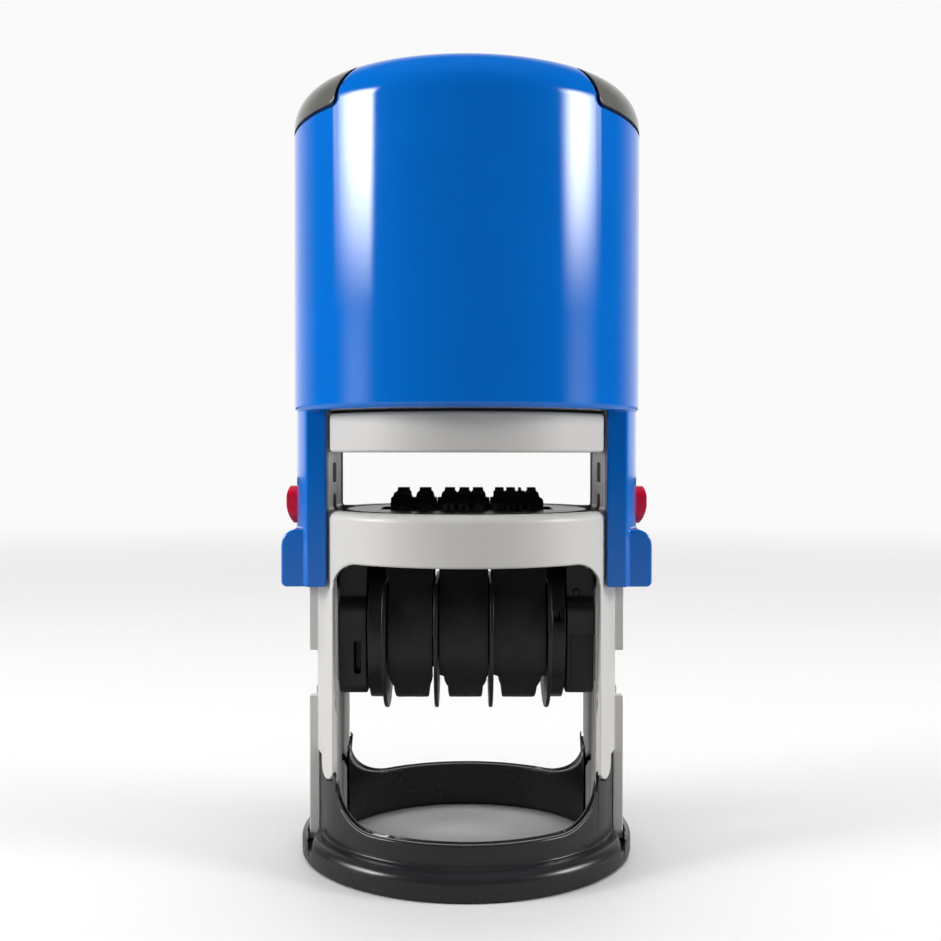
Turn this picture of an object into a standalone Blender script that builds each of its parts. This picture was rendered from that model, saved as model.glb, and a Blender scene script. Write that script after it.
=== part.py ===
"""Self-inking round date stamp, modelled with its cap locked part way down.

Each mesh is in millimetres, and its object's scale brings it to metres. +Z is up, X runs along
the die's axle, and the origin is the centre of the base ring on the table.
"""

import math

import bmesh
import bpy
from mathutils import Matrix, Vector

MM = 0.001
TAU = 2 * math.pi
GAP = 0.3  # air left between neighbouring pieces
ROUND_STEPS = 40  # sides of the large round shapes
BEYOND = 25  # how far a cutter reaches, past the stamp's side

# Frame: two side walls on a vertical cylinder, tied by a band and a top plate
FRAME_R = 19.94
FRAME_INNER_R = 18.0
WINDOW_HALF = 16.85
WINDOW_TOP = 39.15
WINDOW_CORNER_R = 3.4
BAND_TOP = 45.55
WALL_BOTTOM = 2.0
LEG_INNER_X = 17.0
UPPER_WALL_X = 17.8
UPPER_WALL_HALF_Y = 8.9
POCKET_X = 17.6
POCKET_HALF_Y = 8.5
POCKET_Z = (21.7, 48.55)
CAM_TRACK_X = 17.45
CAM_TRACK_HALF_Y = 5.1
CAM_TRACK_Z = (3.0, 24.0)
RIB_INNER_X = 19.3
RIB_X = 20.64
RIB_Y = (2.75, 4.3)
RIB_SPANS = ((2.1, 21.0), (27.0, 52.5))
AXLE_SLOT_HALF_Y = 2.5
AXLE_SLOT_Z = (5.0, 48.1)
LOCK_HOLE_HALF_Y = 2.1
LOCK_HOLE_Z = (49.0, 51.6)
TOP_PLATE_Z = (58.3, 61.6)
BOSS_R = 5.9
BOSS_CHAMFER = 0.9
BOSS_TOP_Z = 66.0
TONGUE_Y = 8.6
TONGUE_R = 1.9
TONGUE_Z = 13.1
LEG_STEP_Z = 13.85
LEG_INNER_R = 18.4

# Base ring
RING_R = 22.0
RING_INNER_R = 17.95
RING_WALL_R = 19.75
RING_FLAT_X = 19.0
RING_RIM_Z = 3.4
RING_RIM_ROUND = 1.0
RING_FLARE_R = 1.3
RING_CHAMFER = 0.5
RING_TOP_CHAMFER = 0.3
RING_WALL_Z = 6.2
RING_POST_Z = 13.6
RING_SLOT_Z = 7.0
RING_U_HALF = 16.6
RING_U_CORNER_R = 5.0

# Cap
CAP_R = 22.94
CAP_INNER_R = 20.94
CAP_RIM_Z = 58.25
CAP_TOP_Z = 103.44
DOME_R = 58.8
SHOULDER_R = 5.2
DOME_WALL = 2.6
ARM_R = 22.65
ARM_INNER_R = 20.3
ARM_HALF_Y = 10.0
ARM_BOTTOM_Z = 35.9
ARM_GROOVE_X = 21.05
ARM_GROOVE_HALF_Y = 4.8
ARM_GROOVE_TOP_Z = 82.5
FOOT_X = (21.0, 23.6)
FOOT_HALF_Y = 9.4
FOOT_TOP_Z = 43.2
FOOT_CORNER_R = 1.2
SPRING_POST_R = 5.9
SPRING_POST_Z = (96.5, 101.5)
BUTTON_Z = 46.05
BUTTON_HALF = (2.5, 2.5)
BUTTON_X = (21.4, 23.95)
BUTTON_CORNER_R = 1.5
BUTTON_TIP_HALF = (1.5, 1.2)
BUTTON_TIP_X = 18.9

# Index window in the dome: a strip across the top with a wider wing over each shoulder.
# A wing's flank is a curve from its low corner up to where it meets the strip, as (x, z).
WINDOW_STRIP_HALF_Y = 14.2
WING_FLANK = ((15.6, 95.6), (15.5, 98.4), (10.9, 101.4))
WING_EDGE_Z = 94.75
WING_SLOPE = 0.07
WING_CORNER_R = 0.85
INDEX_GROOVE = 0.42
COVER_THICK = 0.75
RECESS_DEPTH = 1.35
CARD_THICK = 0.25
CARD_HALF_X = 18.5
CARD_MARGIN = 1.2
CARD_CORNER_R = 2.0

# Die: everything that turns over on the axle
AXLE_Z = 38.6
PIN_R = 2.0
PIN_X = (14.4, 23.2)
PLATE_R = 16.2
PLATE_Z = (44.0, 45.5)
PLATE_WINDOW = (11.5, 4.3)
CHEEK_X = (12.9, 16.45)
CHEEK_SIDE = ((6.8, 34.4), (8.0, 33.0), (7.2, 24.0), (5.0, 21.6))  # (y, z), down from the plate
CHEEK_RECESS_X = 15.5
CHEEK_RECESS = ((-6.2, -2.9), (24.5, 34.0))
RAIL_HALF_X = 13.4
RAIL_Y = (5.3, 6.6)
RAIL_HEIGHT = 2.0
CAM_X = (16.7, 17.15)
CAM_R = 4.6
PRINT_Z = 48.3
PRINT_BAR_Z = (39.5, 46.4)
PRINT_BAR_HALF_X = 13.3
PRINT_BAR_HALF_Y = 2.3
PRINT_BAR_TRIM = (11.2, 43.4)  # above this height its ends stop at this x
BAND_THICK = 0.6
BAND_NOSE_R = 1.0
CHARACTER_RISE = 1.1
CHARACTER_HALF_Y = 1.5
SPINDLE_Z = 29.5
SPINDLE_R = 1.5
SPINDLE_HALF_X = 14.2
WHEEL_R = 8.55
WHEEL_RIM_HALF = 2.2
WHEEL_WEB_HALF = 2.6
WHEEL_HUB_R = 5.1
WHEEL_CHAMFER = 0.3
# Each date group: its name, the band's left and right edges, the wheel's middle, how many characters
DATE_GROUPS = (
    ("day", -10.1, -4.35, -7.15, 2),
    ("month", -3.55, 2.8, -0.15, 3),
    ("year", 3.6, 10.2, 6.87, 4),
)
DIVIDERS = (
    ("left_outer", -10.55),
    ("left_inner", -3.95),
    ("right_inner", 3.2),
    ("right_outer", 10.62),
)
DIVIDER_THICK = 0.5
DIVIDER_R = 10.7
DIVIDER_TOP_Z = 36.2
COLLAR_R = 9.3

# Ink pad drawer, and the return spring between frame and cap
DRAWER_Z = (53.0, 57.9)
DRAWER_FRONT_HALF_X = 17.35
DRAWER_HALF_X = 17.3
DRAWER_CHAMFER = 0.3
DRAWER_WALL_HALF_Y = 9.3
PAD_R = 15.6
PAD_Z = (53.4, 56.2)
PAD_CHAMFER = 0.4
SPRING_Z = (61.9, 99.9)
SPRING_R = 7.4
SPRING_WIRE_R = 0.6
SPRING_TURNS = 7
SPRING_END_CLOSING = 0.85  # how far the end turns close up, where 1 is flat


# ---------------------------------------------------------------- helpers

def material(name, colour, roughness, metallic=0.0, transmission=0.0):
    made = bpy.data.materials.new(name)
    made.use_nodes = True
    shader = made.node_tree.nodes["Principled BSDF"]
    shader.inputs["Base Color"].default_value = (*colour, 1.0)
    shader.inputs["Roughness"].default_value = roughness
    shader.inputs["Metallic"].default_value = metallic
    shader.inputs["Transmission Weight"].default_value = transmission
    return made


def body_empty(name, place=(0, 0, 0)):
    made = bpy.data.objects.new(name, None)
    made.empty_display_size = 5 * MM
    made.location = Vector(place) * MM
    bpy.context.scene.collection.objects.link(made)
    return made


def mesh_object(name, points, faces):
    """An object with its mesh in millimetres and its origin at the world's."""
    mesh = bpy.data.meshes.new(name)
    mesh.from_pydata(points, [], faces)
    shape = bmesh.new()
    shape.from_mesh(mesh)
    bmesh.ops.remove_doubles(shape, verts=shape.verts, dist=1e-4)
    bmesh.ops.recalc_face_normals(shape, faces=shape.faces)
    bmesh.ops.triangulate(shape, faces=shape.faces)
    shape.to_mesh(mesh)
    shape.free()
    made = bpy.data.objects.new(name, mesh)
    made.scale = (MM, MM, MM)
    bpy.context.scene.collection.objects.link(made)
    return made


def helper(shape):
    shape.hide_render = True
    shape.display_type = "WIRE"
    return shape


def combine(target, operation, other):
    made = target.modifiers.new(f"{operation.lower()} {other.name}", "BOOLEAN")
    made.operation = operation
    made.solver = "EXACT"
    made.object = helper(other)
    return target


def cut(target, other):
    return combine(target, "DIFFERENCE", other)


def join(target, other):
    return combine(target, "UNION", other)


def keep(target, other):
    return combine(target, "INTERSECT", other)


def solve_as_manifold(target):
    """For a shape whose many crossing cuts leave open edges under the EXACT solver."""
    for step in target.modifiers:
        step.solver = "MANIFOLD"


def finish(shape, parent, surface, smooth_degrees=35):
    """Moves the origin to the parent's, hangs the shape on it, and gives it its material."""
    shape.data.transform(Matrix.Translation(-parent.location / MM))
    shape.parent = parent
    shape.data.materials.append(surface)
    shape.data.shade_smooth()
    shape.data.set_sharp_from_angle(angle=math.radians(smooth_degrees))
    return shape


def lathe(name, profile, steps=72):
    """Turns a closed profile of (radius, z) about Z; a point of radius 0 becomes one vertex."""
    points, rings = [], []
    for radius, z in profile:
        if radius < 1e-6:
            rings.append([len(points)] * steps)
            points.append((0, 0, z))
            continue
        rings.append(list(range(len(points), len(points) + steps)))
        points += [
            (radius * math.cos(TAU * i / steps), radius * math.sin(TAU * i / steps), z)
            for i in range(steps)
        ]
    faces = []
    for low, high in zip(rings, rings[1:] + rings[:1]):
        for i in range(steps):
            j = (i + 1) % steps
            corners = list(dict.fromkeys((low[i], low[j], high[j], high[i])))
            if len(corners) > 2:
                faces.append(corners)
    return mesh_object(name, points, faces)


def prism(name, outline, axis, low, high):
    """Extrudes a 2-D outline along an axis; the outline is in the other two axes, in X, Y, Z order."""
    index = "XYZ".index(axis)

    def place(point, along):
        coordinates = list(point)
        coordinates.insert(index, along)
        return tuple(coordinates)

    count = len(outline)
    points = [place(p, low) for p in outline] + [place(p, high) for p in outline]
    faces = [tuple(range(count)), tuple(range(2 * count - 1, count - 1, -1))]
    for i in range(count):
        j = (i + 1) % count
        faces.append((i, j, j + count, i + count))
    return mesh_object(name, points, faces)


def box(name, x, y, z):
    return prism(name, [(x[0], y[0]), (x[1], y[0]), (x[1], y[1]), (x[0], y[1])], "Z", *z)


def arc(centre, radius, start, end, steps):
    """Points from start to end, in degrees, both included."""
    turns = [math.radians(start + (end - start) * i / steps) for i in range(steps + 1)]
    return [(centre[0] + radius * math.cos(t), centre[1] + radius * math.sin(t)) for t in turns]


def bent(start, pull, end, steps):
    """Points of a quadratic curve from start to end, pulled towards pull."""
    shares = [i / steps for i in range(steps + 1)]
    return [
        tuple((1 - t) ** 2 * a + 2 * t * (1 - t) * b + t**2 * c for a, b, c in zip(start, pull, end))
        for t in shares
    ]


def disc(centre, radius, steps=24):
    return arc(centre, radius, 0, 360 - 360 / steps, steps - 1)


def rounded_box(a, b, radius, steps=3):
    """A rounded rectangle's outline between a = (low, high) and b = (low, high)."""
    return (
        arc((a[1] - radius, b[0] + radius), radius, -90, 0, steps)
        + arc((a[1] - radius, b[1] - radius), radius, 0, 90, steps)
        + arc((a[0] + radius, b[1] - radius), radius, 90, 180, steps)
        + arc((a[0] + radius, b[0] + radius), radius, 180, 270, steps)
    )


def sector(inner, outer, half_y, side, steps=6):
    """The XY outline of a curved wall on one side (+1 or -1), between two radii and within half_y."""
    outer_angle = math.degrees(math.asin(half_y / outer))
    inner_angle = math.degrees(math.asin(half_y / inner))
    outline = arc((0, 0), outer, -outer_angle, outer_angle, steps)
    outline += arc((0, 0), inner, inner_angle, -inner_angle, steps)
    return [(side * x, y) for x, y in outline]


def chord_wall(inner_x, outer, half_y, side, steps=8):
    """The XY outline of a wall with a flat inner face at inner_x and a round outer face."""
    angle = math.degrees(math.asin(half_y / outer))
    outline = arc((0, 0), outer, -angle, angle, steps)
    if outer * math.cos(math.radians(angle)) > inner_x:
        outline += [(inner_x, half_y), (inner_x, -half_y)]
    return [(side * x, y) for x, y in outline]


def slot_outline(half_y, z_low, z_high, steps=6):
    """A vertical slot with round ends, as (y, z)."""
    top = arc((0, z_high - half_y), half_y, 0, 180, steps)
    return top + arc((0, z_low + half_y), half_y, 180, 360, steps)


def mirrored(points):
    """Adds the mirror image of an outline's half, whose first coordinate is positive, in order."""
    return points + [(-a, b) for a, b in reversed(points)]


# ---------------------------------------------------------------- base and frame

def make_base_ring(parent, surface):
    round_r, flare_r = RING_RIM_ROUND, RING_FLARE_R
    rim = arc((RING_R - round_r, RING_RIM_Z - round_r), round_r, 0, 90, 4)
    flare = arc((RING_WALL_R + flare_r, RING_RIM_Z + flare_r), flare_r, 270, 180, 4)
    profile = [(RING_R - RING_CHAMFER, 0), (RING_R, RING_CHAMFER), *rim, *flare]
    profile += [(RING_WALL_R, RING_POST_Z - RING_TOP_CHAMFER), (RING_WALL_R - RING_TOP_CHAMFER, RING_POST_Z)]
    profile += [(RING_INNER_R, RING_POST_Z), (RING_INNER_R, 0)]
    ring = lathe("base_ring", profile, ROUND_STEPS)

    top = RING_POST_Z + 3
    corner = RING_U_CORNER_R
    u_half = [(RING_U_HALF, top), *arc((RING_U_HALF - corner, RING_WALL_Z + corner), corner, 0, -90, 8)]
    cut(ring, prism("ring_u_cutter", mirrored(u_half), "Y", -BEYOND, BEYOND))

    seat = TONGUE_R + GAP
    scoop = arc((TONGUE_Y, TONGUE_Z), seat, 180, 360, 8)
    for sign, name in ((1, "rear"), (-1, "front")):
        outline = [(sign * y, z) for y, z in [(TONGUE_Y - seat, top), *scoop, (TONGUE_Y + seat, top)]]
        cut(ring, prism(f"ring_tongue_cutter_{name}", outline, "X", -BEYOND, BEYOND))
    for side, name in ((1, "right"), (-1, "left")):
        slot = slot_outline(AXLE_SLOT_HALF_Y, RING_SLOT_Z, top)
        through = sorted((side * (RING_INNER_R - 5), side * BEYOND))
        cut(ring, prism(f"ring_axle_slot_{name}", slot, "X", *through))
        pocket = [(side * x, y) for x, y in chord_pocket(LEG_INNER_R + GAP)]
        cut(ring, prism(f"ring_leg_cutter_{name}", pocket, "Z", WALL_BOTTOM - GAP, top))
        low, high = sorted((side * RING_FLAT_X, side * (RIB_X + GAP)))
        for hand, y in (("rear", 1), ("front", -1)):
            ys = sorted((y * (RIB_Y[0] - GAP), y * (RIB_Y[1] + GAP)))
            cut(ring, box(f"ring_rib_cutter_{name}_{hand}", (low, high), ys, (RIB_SPANS[0][0] - GAP, top)))
    return finish(ring, parent, surface)


def chord_pocket(radius):
    """The pocket in the ring that each leg's inner layer stands in."""
    half_y = math.sqrt(radius**2 - (WINDOW_HALF - GAP) ** 2)
    return chord_wall(WINDOW_HALF - GAP, radius, half_y, 1)


def make_frame_skeleton(parent, surface):
    """One round post with its windows, cavities, slots and leg steps cut away, and ribs added."""
    profile = [(0, WALL_BOTTOM), (FRAME_R, WALL_BOTTOM), (FRAME_R, TOP_PLATE_Z[1])]
    profile += [(BOSS_R, TOP_PLATE_Z[1]), (BOSS_R, BOSS_TOP_Z - BOSS_CHAMFER)]
    profile += [(BOSS_R - BOSS_CHAMFER, BOSS_TOP_Z), (0, BOSS_TOP_Z)]
    frame = lathe("frame_skeleton", profile, ROUND_STEPS)
    wall_angle = math.degrees(math.acos(LEG_INNER_X / FRAME_INNER_R))
    cavity = arc((0, 0), FRAME_INNER_R, wall_angle, 180 - wall_angle, 24)
    cavity += [(-x, -y) for x, y in cavity]
    cut(frame, prism("frame_cavity_cutter", cavity, "Z", 0, BAND_TOP + 1))
    corner = WINDOW_CORNER_R
    arch = [(WINDOW_HALF, -5), *arc((WINDOW_HALF - corner, WINDOW_TOP - corner), corner, 0, 90, 8)]
    cut(frame, prism("frame_window_cutter", mirrored(arch), "Y", -BEYOND, BEYOND))
    x, y = UPPER_WALL_X, UPPER_WALL_HALF_Y
    around_walls = [(BEYOND, -y), (x, -y), (x, y), (BEYOND, y), (BEYOND, BEYOND), (-BEYOND, BEYOND)]
    around_walls += [(-a, -b) for a, b in around_walls]
    cut(frame, prism("frame_upper_cutter", around_walls, "Z", BAND_TOP, TOP_PLATE_Z[0]))

    cut(frame, make_leg_cutter())
    slot = slot_outline(AXLE_SLOT_HALF_Y, *AXLE_SLOT_Z)
    lock = rounded_box((-LOCK_HOLE_HALF_Y, LOCK_HOLE_HALF_Y), LOCK_HOLE_Z, 0.4, 2)
    pocket = rounded_box((-POCKET_HALF_Y, POCKET_HALF_Y), POCKET_Z, 2.0, 4)
    track = rounded_box((-CAM_TRACK_HALF_Y, CAM_TRACK_HALF_Y), CAM_TRACK_Z, 1.5, 3)
    for side, name in ((1, "right"), (-1, "left")):
        inside = side * (WINDOW_HALF - 3)
        through = sorted((inside, side * BEYOND))
        cut(frame, prism(f"frame_axle_slot_{name}", slot, "X", *through))
        cut(frame, prism(f"frame_lock_hole_{name}", lock, "X", *through))
        cut(frame, prism(f"frame_cheek_pocket_{name}", pocket, "X", *sorted((inside, side * POCKET_X))))
        cut(frame, prism(f"frame_cam_track_{name}", track, "X", *sorted((inside, side * CAM_TRACK_X))))
        for span, (bottom, top) in enumerate(RIB_SPANS):
            for hand, y in (("rear", 1), ("front", -1)):
                inner, outer = sorted((side * RIB_INNER_X, side * RIB_X))
                ys = sorted((y * RIB_Y[0], y * RIB_Y[1]))
                join(frame, box(f"frame_rib_{name}_{hand}_{span}", (inner, outer), ys, (bottom, top)))
    solve_as_manifold(frame)
    return finish(frame, parent, surface)


def make_leg_cutter():
    """Takes the outer layer off each leg's foot, leaving a round-ended tongue at its front and back."""
    tongue = arc((TONGUE_Y, TONGUE_Z), TONGUE_R, 360, 180, 8)
    outside, top = TONGUE_Y + TONGUE_R + 4, LEG_STEP_Z + 2
    half = [(outside, -1), (outside, TONGUE_Z), *tongue, (TONGUE_Y - TONGUE_R, LEG_STEP_Z)]
    shape = prism("frame_leg_cutter", mirrored(half), "X", -BEYOND, BEYOND)
    profile = [(LEG_INNER_R, -2), (BEYOND, -2), (BEYOND, top), (LEG_INNER_R, top)]
    return keep(shape, lathe("frame_leg_cutter_ring", profile, ROUND_STEPS))


# ---------------------------------------------------------------- cap

def dome_profile(inset, steps=3):
    """(radius, z) down the outside of the cap from the axis to the side, offset inwards by inset."""
    dome, shoulder = DOME_R - inset, SHOULDER_R - inset
    dome_z = CAP_TOP_Z - DOME_R
    centre_r = CAP_R - SHOULDER_R
    centre_z = dome_z + math.sqrt((DOME_R - SHOULDER_R) ** 2 - centre_r**2)
    tangent = math.degrees(math.atan2(centre_z - dome_z, centre_r))
    top = arc((0, dome_z), dome, 90, tangent, steps)
    side = arc((centre_r, centre_z), shoulder, tangent, 0, steps)
    return [(0.0, top[0][1]), *top[1:-1], *side]


def index_region(name, margin):
    """The plan of the index window: a strip across the cap and a wing over each shoulder."""
    strip = WINDOW_STRIP_HALF_Y - margin
    bottom, top = WING_EDGE_Z + margin, CAP_TOP_Z + 5
    flank = [(x + margin, z + margin / 2) for x, z in bent(*WING_FLANK, 6)]
    low_x, low_z = flank[0]
    end_x, end_z = flank[-1]
    corner = arc((low_x + WING_CORNER_R, bottom + WING_CORNER_R), WING_CORNER_R, 180, 266, 4)
    edge_end = (BEYOND, bottom - WING_SLOPE * (BEYOND - low_x))
    half_length = end_x + 4
    outline = [(-strip, top), (-strip, low_z - 5), (strip, low_z - 5), (strip, top)]
    region = prism(f"{name}_strip", outline, "X", -half_length, half_length)
    inner_end = (end_x - 1, end_z + 0.5)
    wing = [(inner_end[0], top + 1), inner_end, *flank[::-1], *corner, edge_end, (BEYOND, top + 1)]
    for side, hand in ((1, "right"), (-1, "left")):
        outline = [(side * x, z) for x, z in wing]
        join(region, prism(f"{name}_wing_{hand}", outline, "Y", -BEYOND, BEYOND))
    return region


def make_cap_shell(parent, surface):
    outer, inner = dome_profile(0), dome_profile(DOME_WALL)
    rim = arc((CAP_R - 0.6, CAP_RIM_Z + 0.6), 0.6, 0, -90, 2)
    inside = [(CAP_INNER_R, CAP_RIM_Z), (CAP_INNER_R, inner[-1][1] - 2)]
    shell = lathe("cap_shell", outer + rim + inside + inner[::-1], ROUND_STEPS)

    post_r, (post_low, post_high) = SPRING_POST_R, SPRING_POST_Z
    post = [(0, post_low), (post_r - 0.3, post_low), (post_r, post_low + 0.5)]
    post += [(post_r, post_high), (0, post_high)]
    join(shell, lathe("cap_spring_post", post, 32))
    foot = rounded_box(FOOT_X, (ARM_BOTTOM_Z, FOOT_TOP_Z), FOOT_CORNER_R, 4)
    hole = rounded_box(
        (-BUTTON_HALF[0] - GAP, BUTTON_HALF[0] + GAP),
        (BUTTON_Z - BUTTON_HALF[1] - GAP, BUTTON_Z + BUTTON_HALF[1] + GAP),
        BUTTON_CORNER_R,
        3,
    )
    inside_x = ARM_INNER_R - 1.3
    for side, name in ((1, "right"), (-1, "left")):
        arm = sector(ARM_INNER_R, ARM_R, ARM_HALF_Y, side)
        join(shell, prism(f"cap_arm_{name}", arm, "Z", ARM_BOTTOM_Z, CAP_RIM_Z + 2))
        outline = [(side * x, z) for x, z in foot]
        join(shell, prism(f"cap_foot_{name}", outline, "Y", -FOOT_HALF_Y, FOOT_HALF_Y))
        groove_x = sorted((side * inside_x, side * ARM_GROOVE_X))
        groove_z = (ARM_BOTTOM_Z - 1, ARM_GROOVE_TOP_Z)
        cut(shell, box(f"cap_groove_{name}", groove_x, (-ARM_GROOVE_HALF_Y, ARM_GROOVE_HALF_Y), groove_z))
        bore_x = sorted((side * inside_x, side * (PIN_X[1] + GAP)))
        cut(shell, prism(f"cap_axle_bore_{name}", disc((0, AXLE_Z), PIN_R + GAP, 16), "X", *bore_x))
        cut(shell, prism(f"cap_button_hole_{name}", hole, "X", *sorted((side * inside_x, side * BEYOND))))

    below = WING_EDGE_Z - 7
    around = [*dome_profile(-3), (CAP_R + 3, below), (CAP_R - RECESS_DEPTH, below)]
    recess = lathe("cap_index_recess", around + dome_profile(RECESS_DEPTH)[::-1], ROUND_STEPS)
    keep(recess, index_region("cap_recess_plan", 0.0))
    cut(shell, recess)
    return finish(shell, parent, surface)


def make_index_cover(parent, surface):
    below = WING_EDGE_Z - 5
    outer = [*dome_profile(0), (CAP_R, below), (CAP_R - COVER_THICK, below)]
    cover = lathe("index_cover", outer + dome_profile(COVER_THICK)[::-1], ROUND_STEPS)
    keep(cover, index_region("index_cover_plan", INDEX_GROOVE))
    return finish(cover, parent, surface)


def make_index_card(parent, surface):
    top = dome_profile(COVER_THICK + 0.15)
    bottom = dome_profile(COVER_THICK + 0.15 + CARD_THICK)
    card = lathe("index_card", [*top[:-2], *bottom[:-2][::-1]], ROUND_STEPS)
    half_y = WINDOW_STRIP_HALF_Y - CARD_MARGIN
    plan = rounded_box((-CARD_HALF_X, CARD_HALF_X), (-half_y, half_y), CARD_CORNER_R)
    keep(card, prism("index_card_plan", plan, "Z", CAP_TOP_Z - 20, CAP_TOP_Z + 5))
    return finish(card, parent, surface)


def make_lock_button(parent, surface, side, name):
    head = rounded_box(
        (-BUTTON_HALF[0], BUTTON_HALF[0]),
        (BUTTON_Z - BUTTON_HALF[1], BUTTON_Z + BUTTON_HALF[1]),
        BUTTON_CORNER_R,
        3,
    )
    button = prism(name, head, "X", *sorted((side * BUTTON_X[0], side * BUTTON_X[1])))
    tip = rounded_box(
        (-BUTTON_TIP_HALF[0], BUTTON_TIP_HALF[0]),
        (BUTTON_Z - BUTTON_TIP_HALF[1], BUTTON_Z + BUTTON_TIP_HALF[1]),
        0.4,
        2,
    )
    join(button, prism(f"{name}_tip", tip, "X", *sorted((side * BUTTON_TIP_X, side * (BUTTON_X[0] + 0.5)))))
    # the head's face slopes in towards its lower edge
    face, low, high = BUTTON_X[1], BUTTON_Z - BUTTON_HALF[1], BUTTON_Z + BUTTON_HALF[1]
    slope = [(face - 1.1, low - 1), (face - 0.45, low + 0.9), (face + 0.01, low + 2.4)]
    slope += [(face + 0.01, high - 1.0), (face - 0.7, high + 1), (BEYOND, high + 1), (BEYOND, low - 1)]
    cut(button, prism(f"{name}_slope", [(side * x, z) for x, z in slope], "Y", -10, 10))
    return finish(button, parent, surface)


# ---------------------------------------------------------------- die

def make_die_plate(parent, surface):
    bottom, top = PLATE_Z
    profile = [(0, bottom), (PLATE_R, bottom), (PLATE_R, top - 0.3), (PLATE_R - 0.3, top), (0, top)]
    plate = lathe("die_plate", profile, ROUND_STEPS)
    x, y = PLATE_WINDOW
    cut(plate, box("die_plate_window", (-x, x), (-y, y), (bottom - 1, top + 1)))
    return finish(plate, parent, surface)


def make_die_carrier(parent, surface):
    """Two cheeks and two cross rails under the plate."""
    top = PLATE_Z[0] - 0.2
    cheek = [(CHEEK_SIDE[0][0], top), *CHEEK_SIDE]
    carrier = prism("die_carrier", mirrored(cheek), "X", *CHEEK_X)
    join(carrier, prism("die_cheek_left", mirrored(cheek), "X", -CHEEK_X[1], -CHEEK_X[0]))
    for hand, y in (("rear", 1), ("front", -1)):
        rail_y = sorted((y * RAIL_Y[0], y * RAIL_Y[1]))
        rail_z = (top - RAIL_HEIGHT, top - 0.01)
        join(carrier, box(f"die_rail_{hand}", (-RAIL_HALF_X, RAIL_HALF_X), rail_y, rail_z))
    spindle_bore = disc((0, SPINDLE_Z), SPINDLE_R + GAP, 12)
    spindle_end = SPINDLE_HALF_X + GAP
    cut(carrier, prism("die_spindle_bore", spindle_bore, "X", -spindle_end, spindle_end))
    half_y, bar_end = PRINT_BAR_HALF_Y + GAP, PRINT_BAR_HALF_X + GAP
    bar_bore = rounded_box((-half_y, half_y), (PRINT_BAR_Z[0] - GAP, top + 3), 0.4, 2)
    cut(carrier, prism("die_bar_bore", bar_bore, "X", -bar_end, bar_end))
    pin_bore = disc((0, AXLE_Z), PIN_R + GAP, 16)
    recess = rounded_box(*CHEEK_RECESS, 0.5, 2)
    for side, name in ((1, "right"), (-1, "left")):
        outside = side * (CHEEK_X[1] + 1)
        pin_x = sorted((side * (PIN_X[0] - GAP), outside))
        cut(carrier, prism(f"die_pin_bore_{name}", pin_bore, "X", *pin_x))
        recess_x = sorted((side * CHEEK_RECESS_X, outside))
        cut(carrier, prism(f"die_cheek_recess_{name}", recess, "X", *recess_x))
    return finish(carrier, parent, surface)


def make_axle_pin(parent, surface, side, name):
    shaft = disc((0, AXLE_Z), PIN_R, 16)
    pin = prism(name, shaft, "X", *sorted((side * PIN_X[0], side * PIN_X[1])))
    return finish(pin, parent, surface)


def make_flip_cam(parent, surface, side, name):
    """A round cam with one straight flank, outside the cheek and round the pin."""
    outline = arc((0, AXLE_Z), CAM_R, -60, 240, 16)
    cam = prism(name, outline, "X", *sorted((side * CAM_X[0], side * CAM_X[1])))
    bore = disc((0, AXLE_Z), PIN_R + GAP, 16)
    cut(cam, prism(f"{name}_bore", bore, "X", *sorted((side * (CAM_X[0] - 1), side * (CAM_X[1] + 1)))))
    return finish(cam, parent, surface)


def make_print_bar(parent, surface):
    outline = rounded_box((-PRINT_BAR_HALF_Y, PRINT_BAR_HALF_Y), PRINT_BAR_Z, 0.6, 3)
    bar = prism("print_bar", outline, "X", -PRINT_BAR_HALF_X, PRINT_BAR_HALF_X)
    trim_x, trim_z = PRINT_BAR_TRIM
    for side, name in ((1, "right"), (-1, "left")):
        ends = sorted((side * trim_x, side * (PRINT_BAR_HALF_X + 1)))
        cut(bar, box(f"print_bar_trim_{name}", ends, (-5, 5), (trim_z, PRINT_BAR_Z[1] + 1)))
    return finish(bar, parent, surface)


def make_spindle(parent, surface):
    outline = disc((0, SPINDLE_Z), SPINDLE_R, 12)
    spindle = prism("wheel_spindle", outline, "X", -SPINDLE_HALF_X, SPINDLE_HALF_X)
    return finish(spindle, parent, surface)


def band_loop(inset):
    """(y, z) of a date band round its wheel and over the print bar, offset inwards by inset."""
    radius = WHEEL_R + 0.3 + BAND_THICK - inset
    top = PRINT_BAR_Z[1] + 0.2 + BAND_THICK - inset
    shoulder = PRINT_BAR_HALF_Y + 0.25 + BAND_THICK - inset
    corner = BAND_NOSE_R + BAND_THICK - inset
    nose = (shoulder - corner, top - corner)
    run = math.hypot(nose[0], nose[1] - SPINDLE_Z)
    lean = math.degrees(math.acos((radius - corner) / run))
    rise = math.degrees(math.atan2(nose[1] - SPINDLE_Z, nose[0]))
    tangent = rise - lean
    half = arc((0, SPINDLE_Z), radius, -90, tangent, 9) + arc(nose, corner, tangent, 90, 2)
    return half + [(-y, z) for y, z in reversed(half[1:])]


def band_front(left, right, middle):
    """(x, z) outline that narrows a band where it runs round the rim of its wheel."""
    bottom, step = SPINDLE_Z - WHEEL_R - 2, SPINDLE_Z - WHEEL_HUB_R
    return [
        (middle - WHEEL_RIM_HALF, bottom),
        (middle + WHEEL_RIM_HALF, bottom),
        (middle + WHEEL_WEB_HALF, step - 0.5),
        (right, step),
        (right, PRINT_Z + 5),
        (left, PRINT_Z + 5),
        (left, step),
        (middle - WHEEL_WEB_HALF, step - 0.5),
    ]


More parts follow.
